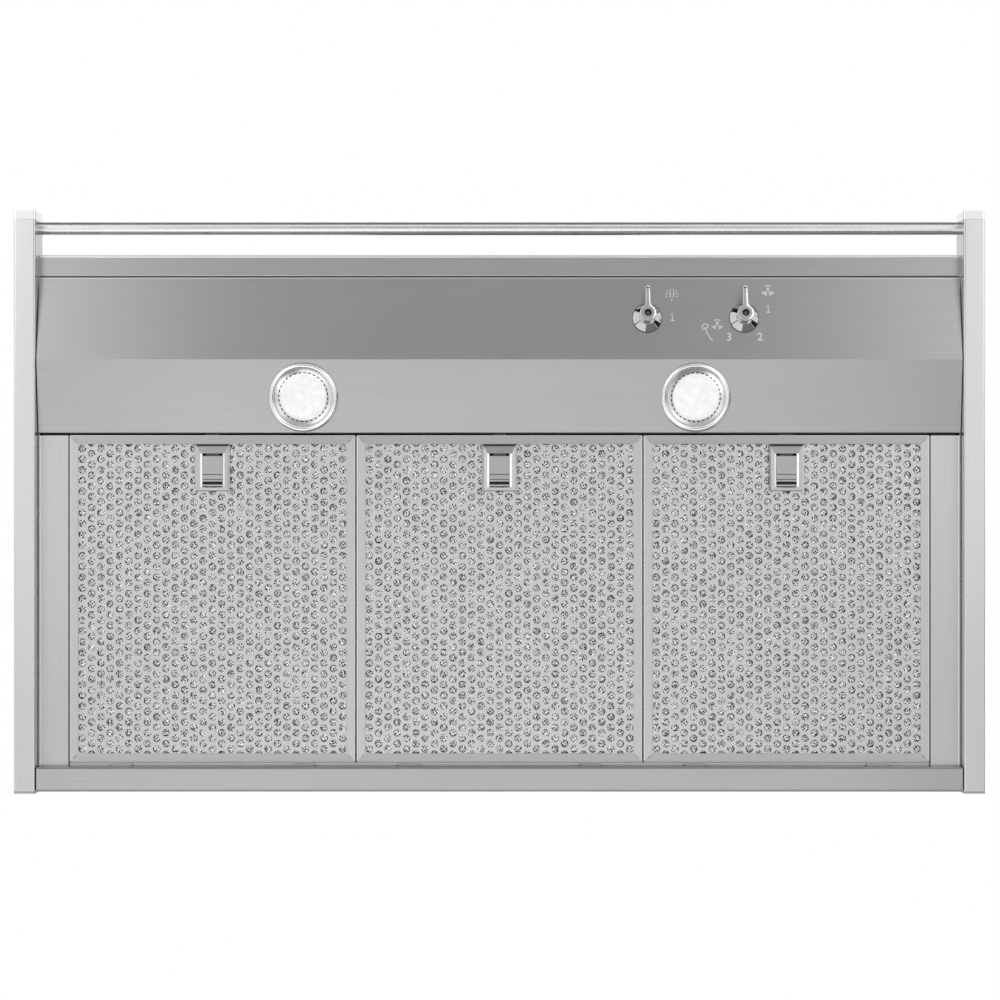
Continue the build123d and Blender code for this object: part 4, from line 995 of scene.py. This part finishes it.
studio = {"floorHeight": -2.6, "floorSize": 16.0, "floor": "#d6d6d6", "floorSeen": "#f4f4f4", "worldLight": 0.62,
          "floorGlow": 0.42, "lens": 93.3, "camera": (0.00046, -0.272, -2.42),
          "softBoxes": {"left": ((-1.75, -1.5, -2.45), 1.3, 1.7, 10.0),
                        "right": ((1.85, -1.4, -2.45), 1.3, 1.7, 9.0),
                        "rear": ((-0.2, 1.1, -2.5), 2.2, 0.9, 5.0)},
          "overhead": ((-1.6, -2.4, 2.4), 2.2, 50.0)}

# cards for the rosettes: first and last degree around a rosette as the picture shows it, and grey level
rosetteCards = {"cone": 36.0, "spread": 7.0, "radius": 3.0, "step": 3.0, "eye": (-0.075, 0.07, -0.995),
                "parts": ((84, 119, 0.24), (119, 143, 0.02), (200, 205, 0.03), (262, 322, 0.24),
                          (324, 346, 0.02), (30, 52, 0.02), (52, 80, 0.26))}
# cards all round: first and last degree, lowest and highest in degrees, and grey level
skyCards = {"radius": 3.4, "step": 6.0, "parts": ((20, 160, 10, 66, 0.03), (55, 125, -14, -5, 0.12),
                                                  (230, 310, -34, 4, 0.26))}
# cards on the floor: x from and to, y from and to in metres, and grey level
floorCards = {"lift": 0.02, "parts": ((-0.72, 0.72, -3.0, -0.5, 0.46), (-1.8, -0.8, 0.0, 1.1, 0.66),
                                      (0.8, 1.8, -0.1, 1.1, 0.6))}


def mirrored(turn, cone):
    # where a rosette's cone sends the camera's view, turn degrees around it
    place = fieldPlace(0, controlField).to_3x3()
    facing = place @ Vector((sin(cone) * cos(turn), sin(cone) * sin(turn), cos(cone)))
    eye = Vector(rosetteCards["eye"]).normalized()
    return 2 * facing.dot(eye) * facing - eye


def overHood(turn, height):
    return Vector((cos(turn) * cos(height), -sin(turn) * cos(height), sin(height)))


def addCard(name, rows, level):
    # a strip between two rows of points, seen only in reflections
    bm = bmesh.new()
    low, high = [[bm.verts.new(point) for point in row] for row in rows]
    for corners in zip(low, low[1:], high[1:], high):
        bm.faces.new(corners)
    mesh = bpy.data.meshes.new(name)
    bm.to_mesh(mesh)
    bm.free()
    material, tree, place = startMaterial("studio card")
    glow = addNode(tree, "Emission", {"Color": (level, level, level, 1), "Strength": 1.0})
    addNode(tree, "OutputMaterial", {"Surface": glow.outputs["Emission"]})
    mesh.materials.append(material)
    card = bpy.data.objects.new(name, mesh)
    scene.collection.objects.link(card)
    card.visible_camera = card.visible_diffuse = card.visible_shadow = card.visible_transmission = False


def roundRows(first, last, ends, look, aim):
    # two rows of points around the hood, from first to last degree, at two heights or cone angles
    steps = max(2, round((last - first) / look["step"]))
    turns = [radians(first + (last - first) * step / steps) for step in range(steps + 1)]
    return [[look["radius"] * aim(turn, radians(end)) for turn in turns] for end in ends]


coneEnds = (rosetteCards["cone"] - rosetteCards["spread"], rosetteCards["cone"] + rosetteCards["spread"])
for index, (first, last, level) in enumerate(rosetteCards["parts"]):
    addCard(f"rosetteCard{index}", roundRows(first, last, coneEnds, rosetteCards, mirrored), level)
for index, (first, last, low, high, level) in enumerate(skyCards["parts"]):
    addCard(f"skyCard{index}", roundRows(first, last, (low, high), skyCards, overHood), level)
for index, (x0, x1, y0, y1, level) in enumerate(floorCards["parts"]):
    z = studio["floorHeight"] + floorCards["lift"]
    addCard(f"floorCard{index}", (((x0, y0, z), (x1, y0, z)), ((x0, y1, z), (x1, y1, z))), level)

mesh = bpy.data.meshes.new("studioFloor")
bm = bmesh.new()
bmesh.ops.create_grid(bm, x_segments=1, y_segments=1, size=studio["floorSize"] / 2)
bmesh.ops.translate(bm, vec=(0, 0, studio["floorHeight"]), verts=bm.verts)
bm.to_mesh(mesh)
bm.free()
floor = bpy.data.objects.new("studioFloor", mesh)
scene.collection.objects.link(floor)


def seenDirectly(tree):
    # one for rays that reach the picture by themselves or by a mirror, nought for light
    rays = addNode(tree, "LightPath", {})
    seen = addNode(tree, "Math", {0: rays.outputs["Is Camera Ray"], 1: rays.outputs["Is Glossy Ray"]},
                   operation="MAXIMUM")
    return addNode(tree, "Math", {0: seen.outputs["Value"], 1: rays.outputs["Is Transmission Ray"]},
                   operation="MAXIMUM").outputs["Value"]


floorPaint, tree, place = startMaterial("matt studio floor")
shade = blendTones(tree, seenDirectly(tree), studio["floor"], studio["floorSeen"])
lift = addNode(tree, "Math", {0: seenDirectly(tree), 1: studio["floorGlow"]}, operation="MULTIPLY")
endMaterial(tree, {"Base Color": shade, "Roughness": 0.9, "Emission Color": (1, 1, 1, 1),
                   "Emission Strength": lift.outputs["Value"]})
mesh.materials.append(floorPaint)

world = bpy.data.worlds.new("studioWorld")
scene.world = world
world.use_nodes = True
tree = world.node_tree
tree.nodes.clear()
level = addNode(tree, "MapRange", {"Value": seenDirectly(tree), "To Min": studio["worldLight"], "To Max": 1.0})
glow = addNode(tree, "Background", {"Color": (1, 1, 1, 1), "Strength": level.outputs["Result"]})
addNode(tree, "OutputWorld", {"Surface": glow.outputs["Background"]})

for name, (spot, wide, deep, power) in studio["softBoxes"].items():
    lamp = bpy.data.lights.new(name, "AREA")
    lamp.shape, lamp.size, lamp.size_y, lamp.energy = "RECTANGLE", wide, deep, power
    holder = bpy.data.objects.new(name, lamp)
    holder.location, holder.rotation_euler = spot, (pi, 0, 0)
    scene.collection.objects.link(holder)
spot, wide, power = studio["overhead"]
lamp = bpy.data.lights.new("overhead", "AREA")
lamp.shape, lamp.size, lamp.energy = "DISK", wide, power
holder = bpy.data.objects.new("overhead", lamp)
holder.location = spot
holder.rotation_euler = (Vector((0, -0.2, 0.2)) - Vector(spot)).to_track_quat("-Z", "Y").to_euler()
scene.collection.objects.link(holder)

lensData = bpy.data.cameras.new("photoCamera")
lensData.lens, lensData.sensor_width = studio["lens"], 36.0
lensData.clip_start, lensData.clip_end = 0.05, 50.0
camera = bpy.data.objects.new("photoCamera", lensData)
camera.location, camera.rotation_euler = studio["camera"], (pi, 0, 0)
scene.collection.objects.link(camera)
scene.camera = camera
print("studio ready")
